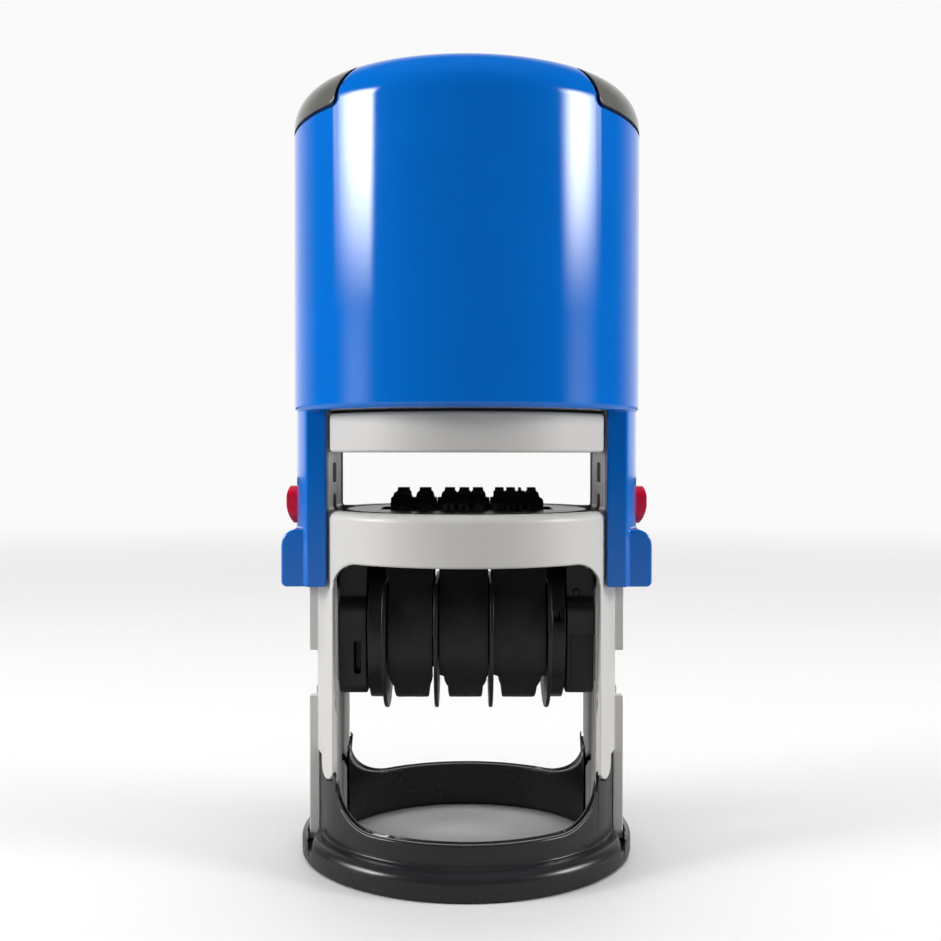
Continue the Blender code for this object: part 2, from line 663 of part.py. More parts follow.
def make_date_band(parent, surface, name, left, right, middle, characters):
    node = f"{name}_band"
    band = prism(node, band_loop(0), "X", left, right)
    cut(band, prism(f"{node}_inside", band_loop(BAND_THICK), "X", left - 1, right + 1))
    keep(band, prism(f"{node}_front", band_front(left, right, middle), "Y", -15, 15))
    pitch = (right - left) / characters
    for n in range(characters):
        centre = left + pitch * (n + 0.5)
        half = pitch * 0.5 - 0.22
        block = box(
            f"{node}_character_{n}",
            (centre - half, centre + half),
            (-CHARACTER_HALF_Y, CHARACTER_HALF_Y),
            (PRINT_Z - CHARACTER_RISE - 0.3, PRINT_Z),
        )
        join(band, block)
    return finish(band, parent, surface)


def make_thumb_wheel(parent, surface, name, left, right, middle):
    node = f"{name}_wheel"
    bore, chamfer, margin = SPINDLE_R + 0.25, WHEEL_CHAMFER, 0.2
    profile = [
        (bore, left + margin),
        (WHEEL_HUB_R, left + margin),
        (WHEEL_HUB_R + 0.4, middle - WHEEL_WEB_HALF),
        (WHEEL_R - chamfer, middle - WHEEL_RIM_HALF),
        (WHEEL_R, middle - WHEEL_RIM_HALF + chamfer),
        (WHEEL_R, middle + WHEEL_RIM_HALF - chamfer),
        (WHEEL_R - chamfer, middle + WHEEL_RIM_HALF),
        (WHEEL_HUB_R + 0.4, middle + WHEEL_WEB_HALF),
        (WHEEL_HUB_R, right - margin),
        (bore, right - margin),
    ]
    wheel = lathe(node, profile, 24)
    turn = Matrix.Translation((0, 0, SPINDLE_Z)) @ Matrix.Rotation(math.pi / 2, 4, "Y")
    wheel.data.transform(turn)
    return finish(wheel, parent, surface)


def make_divider(parent, surface, name, centre):
    node = f"{name}_divider"
    low, high = centre - DIVIDER_THICK / 2, centre + DIVIDER_THICK / 2
    edge = math.degrees(math.asin((DIVIDER_TOP_Z - SPINDLE_Z) / DIVIDER_R))
    outline = arc((0, SPINDLE_Z), DIVIDER_R, -180 - edge, edge, 20)
    divider = prism(node, outline, "X", low, high)
    if name.endswith("outer"):
        side = 1 if centre > 0 else -1
        collar = disc((0, SPINDLE_Z), COLLAR_R, 24)
        inner = side * (abs(centre) + 0.1)
        join(divider, prism(f"{node}_collar", collar, "X", *sorted((inner, side * (CHEEK_X[0] - 0.25)))))
    bore = disc((0, SPINDLE_Z), SPINDLE_R + 0.25, 12)
    cut(divider, prism(f"{node}_bore", bore, "X", low - 4, high + 4))
    return finish(divider, parent, surface)


# ---------------------------------------------------------------- ink pad and spring

def make_pad_cartridge(parent, surface):
    """A shallow drawer, open below, with a curved front that covers the ends of the side walls."""
    (low, high), chamfer = DRAWER_Z, DRAWER_CHAMFER
    profile = [(0, low), (FRAME_R, low), (FRAME_R, high - chamfer), (FRAME_R - chamfer, high), (0, high)]
    drawer = lathe("pad_cartridge", profile, ROUND_STEPS)
    right_half = [
        (DRAWER_FRONT_HALF_X, -BEYOND),
        (DRAWER_FRONT_HALF_X, -DRAWER_WALL_HALF_Y),
        (DRAWER_HALF_X, -DRAWER_WALL_HALF_Y),
        (DRAWER_HALF_X, BEYOND),
    ]
    keep(drawer, prism("pad_cartridge_plan", mirrored(right_half), "Z", low - 5, high + 5))
    well = disc((0, 0), PAD_R + GAP, 36)
    cut(drawer, prism("pad_cartridge_well", well, "Z", low - 1, PAD_Z[1] + GAP))
    return finish(drawer, parent, surface)


def make_ink_pad(parent, surface):
    (low, high), chamfer = PAD_Z, PAD_CHAMFER
    profile = [(0, low), (PAD_R - chamfer, low), (PAD_R, low + chamfer), (PAD_R, high), (0, high)]
    return finish(lathe("ink_pad", profile, 36), parent, surface)


def make_return_spring(parent, surface):
    """A round wire swept along a helix, with its end turns closed up flat."""
    path_steps, sides = SPRING_TURNS * 12, 5
    low, high = SPRING_Z[0] + SPRING_WIRE_R, SPRING_Z[1] - SPRING_WIRE_R
    points, faces = [], []
    for i in range(path_steps + 1):
        share = i / path_steps
        turn = TAU * SPRING_TURNS * share
        eased = share - math.sin(TAU * share) / TAU * SPRING_END_CLOSING
        centre_z = low + (high - low) * eased
        for k in range(sides):
            angle = TAU * k / sides
            radius = SPRING_R + SPRING_WIRE_R * math.cos(angle)
            z = centre_z + SPRING_WIRE_R * math.sin(angle)
            points.append((radius * math.cos(turn), radius * math.sin(turn), z))
    for i in range(path_steps):
        for k in range(sides):
            j = (k + 1) % sides
            here, there = i * sides, (i + 1) * sides
            faces.append((here + k, here + j, there + j, there + k))
    faces.append(tuple(range(sides)))
    faces.append(tuple(path_steps * sides + k for k in reversed(range(sides))))
    return finish(mesh_object("return_spring", points, faces), parent, surface)


# ---------------------------------------------------------------- assembly

def clear_scene():
    for old in list(bpy.data.objects):
        bpy.data.objects.remove(old, do_unlink=True)


def main():
    clear_scene()
    black = material("black_plastic", (0.012, 0.012, 0.014), 0.35)
    grey = material("warm_grey_plastic", (0.68, 0.66, 0.63), 0.4)
    blue = material("blue_plastic", (0.0, 0.12, 0.62), 0.12)
    red = material("red_plastic", (0.62, 0.005, 0.03), 0.3)
    smoky = material("smoky_clear_plastic", (0.45, 0.46, 0.44), 0.1, transmission=0.6)
    paper = material("index_paper", (0.8, 0.8, 0.78), 0.8)
    die_black = material("die_plastic", (0.008, 0.008, 0.009), 0.45)
    rubber = material("date_rubber", (0.01, 0.01, 0.01), 0.7)
    felt = material("ink_felt", (0.01, 0.012, 0.03), 0.95)
    steel = material("spring_steel", (0.6, 0.6, 0.62), 0.25, metallic=1.0)

    frame = body_empty("frame_body")
    make_base_ring(frame, black)
    make_frame_skeleton(frame, grey)
    make_return_spring(frame, steel)

    cap = body_empty("cap_body")
    make_cap_shell(cap, blue)
    make_index_card(cap, paper)
    make_index_cover(body_empty("index_cover_body"), smoky)
    for side, name in ((-1, "left"), (1, "right")):
        button_body = body_empty(f"{name}_button_body", (side * BUTTON_X[0], 0, BUTTON_Z))
        make_lock_button(button_body, red, side, f"{name}_lock_button")

    die = body_empty("die_body", (0, 0, AXLE_Z))
    make_die_plate(die, die_black)
    make_die_carrier(die, die_black)
    make_print_bar(die, die_black)
    make_spindle(die, steel)
    for side, name in ((-1, "left"), (1, "right")):
        make_axle_pin(die, steel, side, f"{name}_axle_pin")
        make_flip_cam(die, die_black, side, f"{name}_flip_cam")
    for name, centre in DIVIDERS:
        make_divider(die, die_black, name, centre)
    for name, left, right, middle, characters in DATE_GROUPS:
        make_date_band(die, rubber, name, left, right, middle, characters)
        wheel_body = body_empty(f"{name}_wheel_body", (0, 0, SPINDLE_Z))
        make_thumb_wheel(wheel_body, die_black, name, left, right, middle)

    drawer = body_empty("pad_body")
    make_pad_cartridge(drawer, grey)
    make_ink_pad(drawer, felt)


main()
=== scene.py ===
import math

import bmesh
import bpy
from mathutils import Matrix, Vector


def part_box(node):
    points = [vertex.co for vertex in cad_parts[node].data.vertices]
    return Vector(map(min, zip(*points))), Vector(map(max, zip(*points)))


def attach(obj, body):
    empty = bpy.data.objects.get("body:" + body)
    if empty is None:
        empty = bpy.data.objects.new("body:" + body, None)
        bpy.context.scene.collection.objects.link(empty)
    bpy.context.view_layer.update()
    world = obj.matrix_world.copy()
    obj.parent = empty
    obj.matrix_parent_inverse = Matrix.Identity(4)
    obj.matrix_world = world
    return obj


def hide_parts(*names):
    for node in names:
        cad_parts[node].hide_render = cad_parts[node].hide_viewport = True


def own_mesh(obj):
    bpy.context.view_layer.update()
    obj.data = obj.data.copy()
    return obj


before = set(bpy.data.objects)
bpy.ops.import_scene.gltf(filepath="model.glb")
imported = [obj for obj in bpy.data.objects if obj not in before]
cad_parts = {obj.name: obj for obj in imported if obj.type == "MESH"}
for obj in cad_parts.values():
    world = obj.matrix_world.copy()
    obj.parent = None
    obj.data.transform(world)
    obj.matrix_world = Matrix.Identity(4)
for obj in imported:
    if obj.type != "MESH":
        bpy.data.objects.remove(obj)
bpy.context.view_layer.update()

# Fine surfaces and finishes for the self-inking stamp. Meshes are worked out in millimetres in
# the frame's own axes, and become metres when a piece is handed over to its body.

scene = bpy.context.scene

MM = 0.001
TAU = 2 * math.pi
ROUND_STEPS = 120
GAP = 0.3  # clearance between neighbours
OUT = 25  # further out than any side of the object, for cuts that go right through


def box_mm(node):
    low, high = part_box(node)
    return low / MM, high / MM


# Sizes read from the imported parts
cap_low, cap_high = box_mm("cap_shell")
cover_high = box_mm("index_cover")[1]
frame_low, frame_high = box_mm("frame_skeleton")
ring_high = box_mm("base_ring")[1]
plate_low, plate_high = box_mm("die_plate")
cheek_high = box_mm("die_carrier")[1]
drawer_low, drawer_high = box_mm("pad_cartridge")
felt_low, felt_high = box_mm("ink_pad")
spring_low, spring_high = box_mm("return_spring")
pin_low, pin_high = box_mm("right_axle_pin")
cam_low, cam_high = box_mm("right_flip_cam")
button_low, button_high = box_mm("right_lock_button")
spindle_low, spindle_high = box_mm("wheel_spindle")
bar_low, bar_high = box_mm("print_bar")

# Frame
FRAME_R = 19.94
FRAME_INNER_R = 18.0
WINDOW_HALF = 16.85
WINDOW_TOP = 39.15
WINDOW_CORNER_R = 3.4
BAND_TOP = 45.55
BAND_TOP_ROUND = 1.1
WALL_BOTTOM = frame_low.z
LEG_INNER_X = 17.0
LEG_INNER_R = 18.4
LEG_STEP_Z = 13.85
TONGUE_Y = 8.6
TONGUE_R = 1.9
TONGUE_Z = 13.1
UPPER_WALL_X = 17.8
UPPER_WALL_HALF_Y = 8.9
POCKET_X = 17.6
POCKET_HALF_Y = 8.5
POCKET_Z = (21.7, 48.55)
CAM_TRACK_X = 17.45
CAM_TRACK_HALF_Y = 5.1
CAM_TRACK_Z = (3.0, 24.0)
RIB_INNER_X = 19.3
RIB_X = frame_high.x
RIB_Y = (2.75, 4.3)
RIB_SPANS = ((2.1, 21.0), (27.0, 52.5))
AXLE_SLOT_HALF_Y = 2.5
AXLE_SLOT_Z = (5.0, 48.1)
AXLE_SLOT_SKIN_X = 18.6
LEG_CUT_X = 14
LOCK_HOLE_Z = (49.0, 51.6)
LOCK_HOLE_HALF_Y = 2.1
GUIDE_ENDS = ((-8.0, 21.0), (8.6, 8.0))
GUIDE_HALF = 0.55
GUIDE_DEPTH = 0.45
TOP_PLATE_Z = (58.3, 61.6)
BOSS_TOP_Z = frame_high.z
BOSS_R = 5.9

# Base ring
RING_R = ring_high.x
RING_INNER_R = 17.95
RING_WALL_R = 19.75
RING_FLAT_X = 19.0
RING_RIM_Z = 3.4
RING_RIM_ROUND = 1.35
RING_FLARE_R = 0.35
RING_GROOVE_R = (18.4, 19.2)
RING_GROOVE_DEPTH = 1.0
RING_WALL_Z = 6.2
RING_WEDGE = ((19.35, 2.4), (20.9, 2.4), (20.25, 9.6), (19.75, 9.9))
RING_WEDGE_Z = 1.9
RING_POST_Z = ring_high.z
RING_SLOT_Z = 7.0
RING_CUT_X = 12
RING_U_HALF = 16.6
RING_U_CORNER_R = 5.0

# Cap
CAP_R = cap_high.y
CAP_INNER_R = 20.94
CAP_RIM_Z = 58.25
CAP_TOP_Z = cover_high.z
DOME_R = 58.8
SHOULDER_R = 5.2
DOME_WALL = 2.6
ARM_R = 22.65
ARM_INNER_R = 20.3
ARM_HALF_Y = 10.0
ARM_BOTTOM_Z = cap_low.z
ARM_GROOVE_X = 21.05
ARM_GROOVE_HALF_Y = 4.8
ARM_GROOVE_TOP_Z = 82.5
ARM_CUT_X = 19
SPRING_SEAT_R = 5.9
SPRING_SEAT_Z = (96.5, 101.5)
FOOT_X = cap_high.x
FOOT_INNER_X = 20.4
FOOT_HALF_Y = 9.4
FOOT_TOP_Z = 43.2
BUTTON_HALF_Y = button_high.y
BUTTON_HALF_Z = (button_high.z - button_low.z) / 2
BUTTON_Z = (button_high.z + button_low.z) / 2
BUTTON_INNER_X = 21.4
BUTTON_TIP_HALF = (1.5, 1.2)

# Index window
WINDOW_STRIP_HALF_Y = 14.2
WING_FLANK = ((15.6, 95.6), (15.5, 98.4), (10.9, 101.4))
WING_EDGE_Z = 94.75
WING_SLOPE = 0.07
WING_CORNER_R = 0.85
INDEX_GROOVE = 0.42
COVER_THICK = 0.75
RECESS_DEPTH = 1.35
CARD_THICK = 0.25

# Die
PIN_R = pin_high.y
AXLE_Z = (pin_low.z + pin_high.z) / 2
SPINDLE_R = spindle_high.y
SPINDLE_Z = (spindle_low.z + spindle_high.z) / 2
PLATE_R = plate_high.y
PLATE_WINDOW = (11.5, 4.3)
CHEEK_X = (12.9, cheek_high.x)
CHEEK_PIN_X = 14
CHEEK_OUT_X = 18
# half of a cheek's outline as (y, z) from its neck down; the round ones as (centre, radius)
CHEEK_NECK, CHEEK_SHOULDER, CHEEK_HEEL = (6.8, 34.4), (7.3, 34.0), (7.2, 24.0)
CHEEK_BULGE, CHEEK_FOOT = ((5.0, 32.6), 3.0), ((5.0, 23.6), 2.0)
CHEEK_RELIEF = ((2.9, 6.2), (24.5, 34.0), 15.7)
CHEEK_PANELS = (((13.7, 14.5), (24.5, 28.6), 0.2, 5.4), ((13.4, 17.5), (20.5, 29.6), 0.4, 6.6))
STUD_PLACE = (14.2, 6.95, 35.0)
RAIL_Y = (5.3, 6.6)
CHARACTER_TOP_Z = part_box("day_band")[1].z / MM
BAND_SURFACE_Z = 46.85
BAND_THICK = 0.5
PLINTH_RISE = 0.8
BAR_TOP_Z = BAND_SURFACE_Z - BAND_THICK - 0.1
BAR_HALF_Y = bar_high.y
BAR_TRIM = (10.1, 43.4)
WHEEL_R = 8.55
WHEEL_RIM_HALF = 2.2
WHEEL_WEB_HALF = 2.6
WHEEL_HUB_R = 5.1
WHEEL_TEETH = 24
DIVIDER_X = {"left_outer": -10.55, "left_inner": -3.95, "right_inner": 3.2, "right_outer": 10.62}
DIVIDER_HALF = 0.25
DIVIDER_R = 10.7
DIVIDER_TOP_Z = 36.2
COLLAR_R = 9.3
COLLAR_NOTCH_SHARES = (0.875, 0.945)
COLLAR_NOTCH_Z = (31.4, 32.7)

# Stage
BACKDROP = (0.955, 0.955, 0.955, 1)
FLOOR_FADE_R = 0.9
LIGHT_TARGET = (0, 0, 0.055)


# ---- outlines

def arc(centre, radius, start, end, steps):
    """Points from start to end, in degrees, both included."""
    turn = [math.radians(start + (end - start) * i / steps) for i in range(steps + 1)]
    return [(centre[0] + radius * math.cos(a), centre[1] + radius * math.sin(a)) for a in turn]


def bent(start, pull, end, steps=24):
    """Points of a quadratic curve from start to end, pulled towards pull."""
    points = []
    for i in range(steps + 1):
        t = i / steps
        a, b, c = (1 - t) ** 2, 2 * t * (1 - t), t**2
        points.append(tuple(a * p + b * q + c * r for p, q, r in zip(start, pull, end)))
    return points


def disc(centre, radius, steps=48):
    return arc(centre, radius, 0, 360 - 360 / steps, steps - 1)


def about(middle, half):
    """The two places that lie half either way of the middle."""
    return (middle - half, middle + half)


def on(side, pair):
    """A pair of distances from the middle plane, as places on one side of it, low first."""
    return sorted((side * pair[0], side * pair[1]))


def rounded_box(a, b, radius, steps=6):
    """A rounded rectangle between a = (low, high) and b = (low, high)."""
    return (
        arc((a[1] - radius, b[0] + radius), radius, -90, 0, steps)
        + arc((a[1] - radius, b[1] - radius), radius, 0, 90, steps)
        + arc((a[0] + radius, b[1] - radius), radius, 90, 180, steps)
        + arc((a[0] + radius, b[0] + radius), radius, 180, 270, steps)
    )


def sector(inner, outer, half_y, side, steps=20):
    """The XY outline of a curved wall on one side, between two radii and within half_y."""
    outer_angle = math.degrees(math.asin(half_y / outer))
    inner_angle = math.degrees(math.asin(half_y / inner))
    outline = arc((0, 0), outer, -outer_angle, outer_angle, steps)
    outline += arc((0, 0), inner, inner_angle, -inner_angle, steps)
    return [(side * x, y) for x, y in outline]


def slot_outline(half_y, z_low, z_high, steps=14):
    """An upright slot with round ends, as (y, z)."""
    top = arc((0, z_high - half_y), half_y, 0, 180, steps)
    return top + arc((0, z_low + half_y), half_y, 180, 360, steps)


def mirrored(points):
    """One half of an outline, in order, and its mirror image in the first coordinate."""
    return points + [(-first, second) for first, second in reversed(points)]


PIN_HOLE = disc((0, AXLE_Z), PIN_R + GAP)


# ---- solids and cuts

def solid(points, faces):
    mesh = bpy.data.meshes.new("solid")
    mesh.from_pydata(points, [], faces)
    shape = bmesh.new()
    shape.from_mesh(mesh)
    bmesh.ops.remove_doubles(shape, verts=shape.verts, dist=1e-4)
    bmesh.ops.recalc_face_normals(shape, faces=shape.faces)
    shape.to_mesh(mesh)
    shape.free()
    made = bpy.data.objects.new("solid", mesh)
    scene.collection.objects.link(made)
    return made


def lathe(profile, steps=ROUND_STEPS):
    """Turns a closed profile of (radius, z) about Z."""
    turns = [TAU * i / steps for i in range(steps)]
    points, rings = [], []
    for radius, z in profile:
        if radius < 1e-6:
            rings.append([len(points)] * steps)
            points.append((0, 0, z))
            continue
        rings.append(list(range(len(points), len(points) + steps)))
        points += [(radius * math.cos(a), radius * math.sin(a), z) for a in turns]
    faces = []
    for low, high in zip(rings, rings[1:] + rings[:1]):
        for i in range(steps):
            j = (i + 1) % steps
            corners = list(dict.fromkeys((low[i], low[j], high[j], high[i])))
            if len(corners) > 2:
                faces.append(corners)
    return solid(points, faces)


def prism(outline, axis, low, high):
    """Extrudes an outline along an axis; it is in the other two axes, in X, Y, Z order."""
    index = "XYZ".index(axis)

    def place(point, along):
        coordinates = list(point)
        coordinates.insert(index, along)
        return tuple(coordinates)

    low, high = sorted((low, high))
    count = len(outline)
    points = [place(p, low) for p in outline] + [place(p, high) for p in outline]
    faces = [tuple(range(count)), tuple(range(2 * count - 1, count - 1, -1))]
    for i in range(count):
        j = (i + 1) % count
        faces.append((i, j, j + count, i + count))
    return solid(points, faces)


def sideways(outline, side, start, end=OUT):
    """A prism along X on one side of the object, from start outwards to end."""
    return prism(outline, "X", side * start, side * end)


def box(x, y, z):
    return prism([(x[0], y[0]), (x[1], y[0]), (x[1], y[1]), (x[0], y[1])], "Z", *z)


def frustum(x, y, z, taper):
    """A block whose sides lean in by taper from its foot at z[0] to its top at z[1]."""
    points = []
    for height, inset in ((z[0], 0), (z[1], taper)):
        points += [
            (x[0] + inset, y[0] + inset, height),
            (x[1] - inset, y[0] + inset, height),
            (x[1] - inset, y[1] - inset, height),
            (x[0] + inset, y[1] - inset, height),
        ]
    faces = [(3, 2, 1, 0), (4, 5, 6, 7)]
    faces += [(i, (i + 1) % 4, (i + 1) % 4 + 4, i + 4) for i in range(4)]
    return solid(points, faces)


def along_x(target, height):
    """Lays a piece that was turned about Z along X, at a height."""
    lie = Matrix.Rotation(math.pi / 2, 4, "Y")
    target.data.transform(Matrix.Translation((0, 0, height)) @ lie)
    return target


def settle(target):
    """Applies an object's modifiers to its mesh."""
    graph = bpy.context.evaluated_depsgraph_get()
    mesh = bpy.data.meshes.new_from_object(target.evaluated_get(graph))
    target.modifiers.clear()
    target.data = mesh
    return target


def combine(target, operation, tools):
    for tool in tools:
        step = target.modifiers.new("combine", "BOOLEAN")
        step.operation = operation
        step.solver = "MANIFOLD"
        step.object = tool
    settle(target)
    for tool in tools:
        bpy.data.objects.remove(tool, do_unlink=True)
    return target


def cut(target, *tools):
    return combine(target, "DIFFERENCE", tools)


def join(target, *tools):
    return combine(target, "UNION", tools)


def keep(target, *tools):
    return combine(target, "INTERSECT", tools)


def tidy(target, weld=0.02):
    """Merges points closer together than weld, and flat neighbours into one face."""
    shape = bmesh.new()
    shape.from_mesh(target.data)
    bmesh.ops.remove_doubles(shape, verts=shape.verts, dist=weld)
    bmesh.ops.dissolve_degenerate(shape, edges=shape.edges, dist=1e-3)
    flat = math.radians(0.4)
    bmesh.ops.dissolve_limit(shape, angle_limit=flat, verts=shape.verts, edges=shape.edges)
    shape.to_mesh(target.data)
    shape.free()
    return target


def soften(target, width, segments=3, angle=32, weld=0.02, clamp=False):
    """Rounds every edge sharper than angle; clamp keeps the rounding from overlapping itself."""
    tidy(target, weld)
    bevel = target.modifiers.new("edges", "BEVEL")
    bevel.width = width
    bevel.segments = segments
    bevel.limit_method = "ANGLE"
    bevel.angle_limit = math.radians(angle)
    bevel.use_clamp_overlap = clamp
    bevel.miter_outer = "MITER_ARC"
    return settle(target)


def split_round(target, step=15, many=20):
    """Cuts level faces of many corners at planes through Z, so that a ring fills as a ring."""
    mesh = bmesh.new()
    mesh.from_mesh(target.data)
    for degrees in range(0, 180, step):
        a = math.radians(degrees)
        across = (math.cos(a), math.sin(a), 0)
        faces = [face for face in mesh.faces if len(face.verts) > many and abs(face.normal.z) > 0.9]
        edges = dict.fromkeys(edge for face in faces for edge in face.edges)
        points = dict.fromkeys(point for face in faces for point in face.verts)
        parts = [*faces, *edges, *points]
        bmesh.ops.bisect_plane(mesh, geom=parts, plane_co=(0, 0, 0), plane_no=across, dist=1e-4)
    mesh.to_mesh(target.data)
    mesh.free()
    return target


def hand_over(target, node, surface, body, name=None):
    """Brings a finished piece to metres, names it and hangs it on its body in its material."""
    split_round(target)
    target.data.transform(Matrix.Scale(MM, 4))
    target.name = target.data.name = name or f"{node}_fine"
    target.data.materials.clear()
    target.data.materials.append(surface)
    target.data.shade_smooth()
    even = target.modifiers.new("normals", "WEIGHTED_NORMAL")
    even.mode = "FACE_AREA"
    even.weight = 50
    even.keep_sharp = False
    settle(target)
    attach(target, body)
    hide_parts(node)


# ---- materials

def add_node(tree, kind, values=None, **settings):
    """A new node with its settings and, by name, the values of its input sockets."""
    made = tree.nodes.new(kind)
    for key, value in settings.items():
        setattr(made, key, value)
    for key, value in (values or {}).items():
        made.inputs[key].default_value = value
    return made


def remap(tree, value, source, result=(0, 1), interpolation_type="SMOOTHSTEP"):
    """A value brought from the source range to the result range."""
    names = ("From Min", "From Max", "To Min", "To Max")
    limits = dict(zip(names, (*source, *result)))
    made = add_node(tree, "ShaderNodeMapRange", limits, interpolation_type=interpolation_type)
    tree.links.new(value, made.inputs["Value"])
    return made.outputs["Result"]


def blend_shaders(tree, share, first, second):
    made = tree.nodes.new("ShaderNodeMixShader")
    for output, socket in zip((share, first, second), made.inputs):
        tree.links.new(output, socket)
    return made.outputs["Shader"]


class Finish:
    """A procedural finish: one Principled shader with colour, roughness and relief from noise."""

    def __init__(self, name):
        self.material = bpy.data.materials.new(name)
        self.material.use_nodes = True
        self.tree = self.material.node_tree
        self.shader = self.tree.nodes["Principled BSDF"]
        self.coordinates = self.node("ShaderNodeTexCoord").outputs["Object"]

    def node(self, kind, values=None, **settings):
        return add_node(self.tree, kind, values, **settings)

    def link(self, output, target):
        self.tree.links.new(output, target)

    def constant(self, **values):
        for key, value in values.items():
            self.shader.inputs[key.replace("_", " ")].default_value = value
        return self

    def stretched(self, scale):
        """The object's coordinates, scaled along each axis."""
        made = self.node("ShaderNodeMapping", {"Scale": scale})
        self.link(self.coordinates, made.inputs["Vector"])
        return made.outputs["Vector"]

    def noise(self, scale, detail=3.0, roughness=0.55, vector=None, **settings):
        values = {"Scale": scale, "Detail": detail, "Roughness": roughness}
        made = self.node("ShaderNodeTexNoise", values, **settings)
        self.link(self.coordinates if vector is None else vector, made.inputs["Vector"])
        return made.outputs["Fac"]

    def ramp(self, factor, stops):
        made = self.node("ShaderNodeValToRGB")
        elements = made.color_ramp.elements
        while len(elements) < len(stops):
            elements.new(0.5)
        for element, (place, colour) in zip(elements, stops):
            element.position = place
            element.color = (*colour, 1)
        self.link(factor, made.inputs["Fac"])
        return made.outputs["Color"]

    def colour(self, base, spread, scale):
        """Base colour that drifts by spread, as a share, over noise of that scale."""
        low = tuple(c * (1 - spread) for c in base)
        high = tuple(min(1.0, c * (1 + spread)) for c in base)
        drift = self.ramp(self.noise(scale), [(0.3, low), (0.7, high)])
        self.link(drift, self.shader.inputs["Base Color"])
        return self

    def roughness(self, low, high, scale):
        spread = remap(self.tree, self.noise(scale, 5.0), (0.3, 0.7), (low, high), "LINEAR")
        self.link(spread, self.shader.inputs["Roughness"])
        return self

    def relief(self, *layers):
        """Bump from layers of (height output, depth in metres), one after another."""
        normal = None
        for height, depth in layers:
            bump = self.node("ShaderNodeBump", {"Strength": 1.0, "Distance": depth})
            self.link(height, bump.inputs["Height"])
            if normal is not None:
                self.link(normal, bump.inputs["Normal"])
            normal = bump.outputs["Normal"]
        self.link(normal, self.shader.inputs["Normal"])
        return self


def gloss_plastic(name, base, low, high, grain, spread=0.04, coat=0.0, ior=1.5):
    """Injection-moulded plastic: slow colour drift, patchy polish, and a fine moulded grain."""
    made = Finish(name).colour(base, spread, 60).roughness(low, high, 180)
    made.constant(IOR=ior, Coat_Weight=coat, Coat_Roughness=0.04)
    made.relief((made.noise(250, 2.0), grain * 4), (made.noise(5200, 2.0), grain))
    return made.material


def rubber_finish():
    made = Finish("date_rubber").colour((0.011, 0.011, 0.012), 0.25, 900).roughness(0.42, 0.6, 700)
    made.constant(IOR=1.5)
    made.relief((made.noise(900, 3.0), 8e-6), (made.noise(6000, 2.0), 2e-6))
    return made.material


def felt_finish():
    """Ink-soaked felt: tangled short fibres over a slow dark drift of ink."""
    made = Finish("ink_felt")
    fibres = made.noise(1500, 6, 0.5, noise_type="RIDGED_MULTIFRACTAL")
    stops = [(0.25, (0.004, 0.005, 0.012)), (0.75, (0.022, 0.024, 0.05))]
    made.link(made.ramp(made.noise(160, 4.0), stops), made.shader.inputs["Base Color"])
    made.roughness(0.75, 0.95, 900)
    made.constant(Sheen_Weight=0.25, Sheen_Roughness=0.5)
    made.relief((fibres, 9e-5), (made.noise(700, 4.0), 6e-5))
    return made.material


def steel_finish(name, axis_scale):
    """Bright drawn steel with fine lines along the drawing direction."""
    made = Finish(name)
    lines = made.noise(1.0, 4, 0.5, made.stretched(axis_scale))
    tone = made.ramp(lines, [(0.3, (0.46, 0.46, 0.47)), (0.7, (0.66, 0.66, 0.67))])
    made.link(tone, made.shader.inputs["Base Color"])
    made.roughness(0.22, 0.38, 900)
    made.constant(Metallic=1.0)
    made.relief((lines, 4e-6))
    return made.material


def paper_finish():
    made = Finish("index_paper").colour((0.62, 0.62, 0.58), 0.06, 400).roughness(0.75, 0.9, 900)
    made.relief((made.noise(2500, 6.0), 1.5e-5))
    return made.material


def smoky_finish():
    """Smoked clear plastic with faint surface scuffs."""
    made = Finish("smoky_clear").colour((0.22, 0.22, 0.195), 0.10, 120).roughness(0.04, 0.09, 260)
    made.constant(IOR=1.49, Transmission_Weight=0.42)
    made.relief((made.noise(220, 2.0), 6e-6))
    return made.material


BLUE = gloss_plastic("cap_blue", (0.001, 0.145, 0.60), 0.06, 0.10, 2.5e-7, coat=0.25)
GREY = gloss_plastic("frame_grey", (0.60, 0.585, 0.56), 0.30, 0.42, 1.2e-6, spread=0.025)
BLACK = gloss_plastic("base_black", (0.019, 0.019, 0.021), 0.20, 0.30, 9e-7, spread=0.15)
DIE_BLACK = gloss_plastic("die_black", (0.011, 0.011, 0.012), 0.30, 0.44, 1.2e-6, spread=0.2)
PLATE_BLACK = gloss_plastic(
    "die_plate_black", (0.010, 0.010, 0.011), 0.22, 0.32, 6e-7, spread=0.2, ior=1.18
)
RED = gloss_plastic("button_red", (0.74, 0.010, 0.040), 0.12, 0.20, 5e-7)
RUBBER = rubber_finish()
FELT = felt_finish()
STEEL_WIRE = steel_finish("spring_steel", (2500, 2500, 2500))
STEEL_ROD = steel_finish("rod_steel", (150, 5000, 5000))
PAPER = paper_finish()
SMOKY = smoky_finish()


# ---- base ring

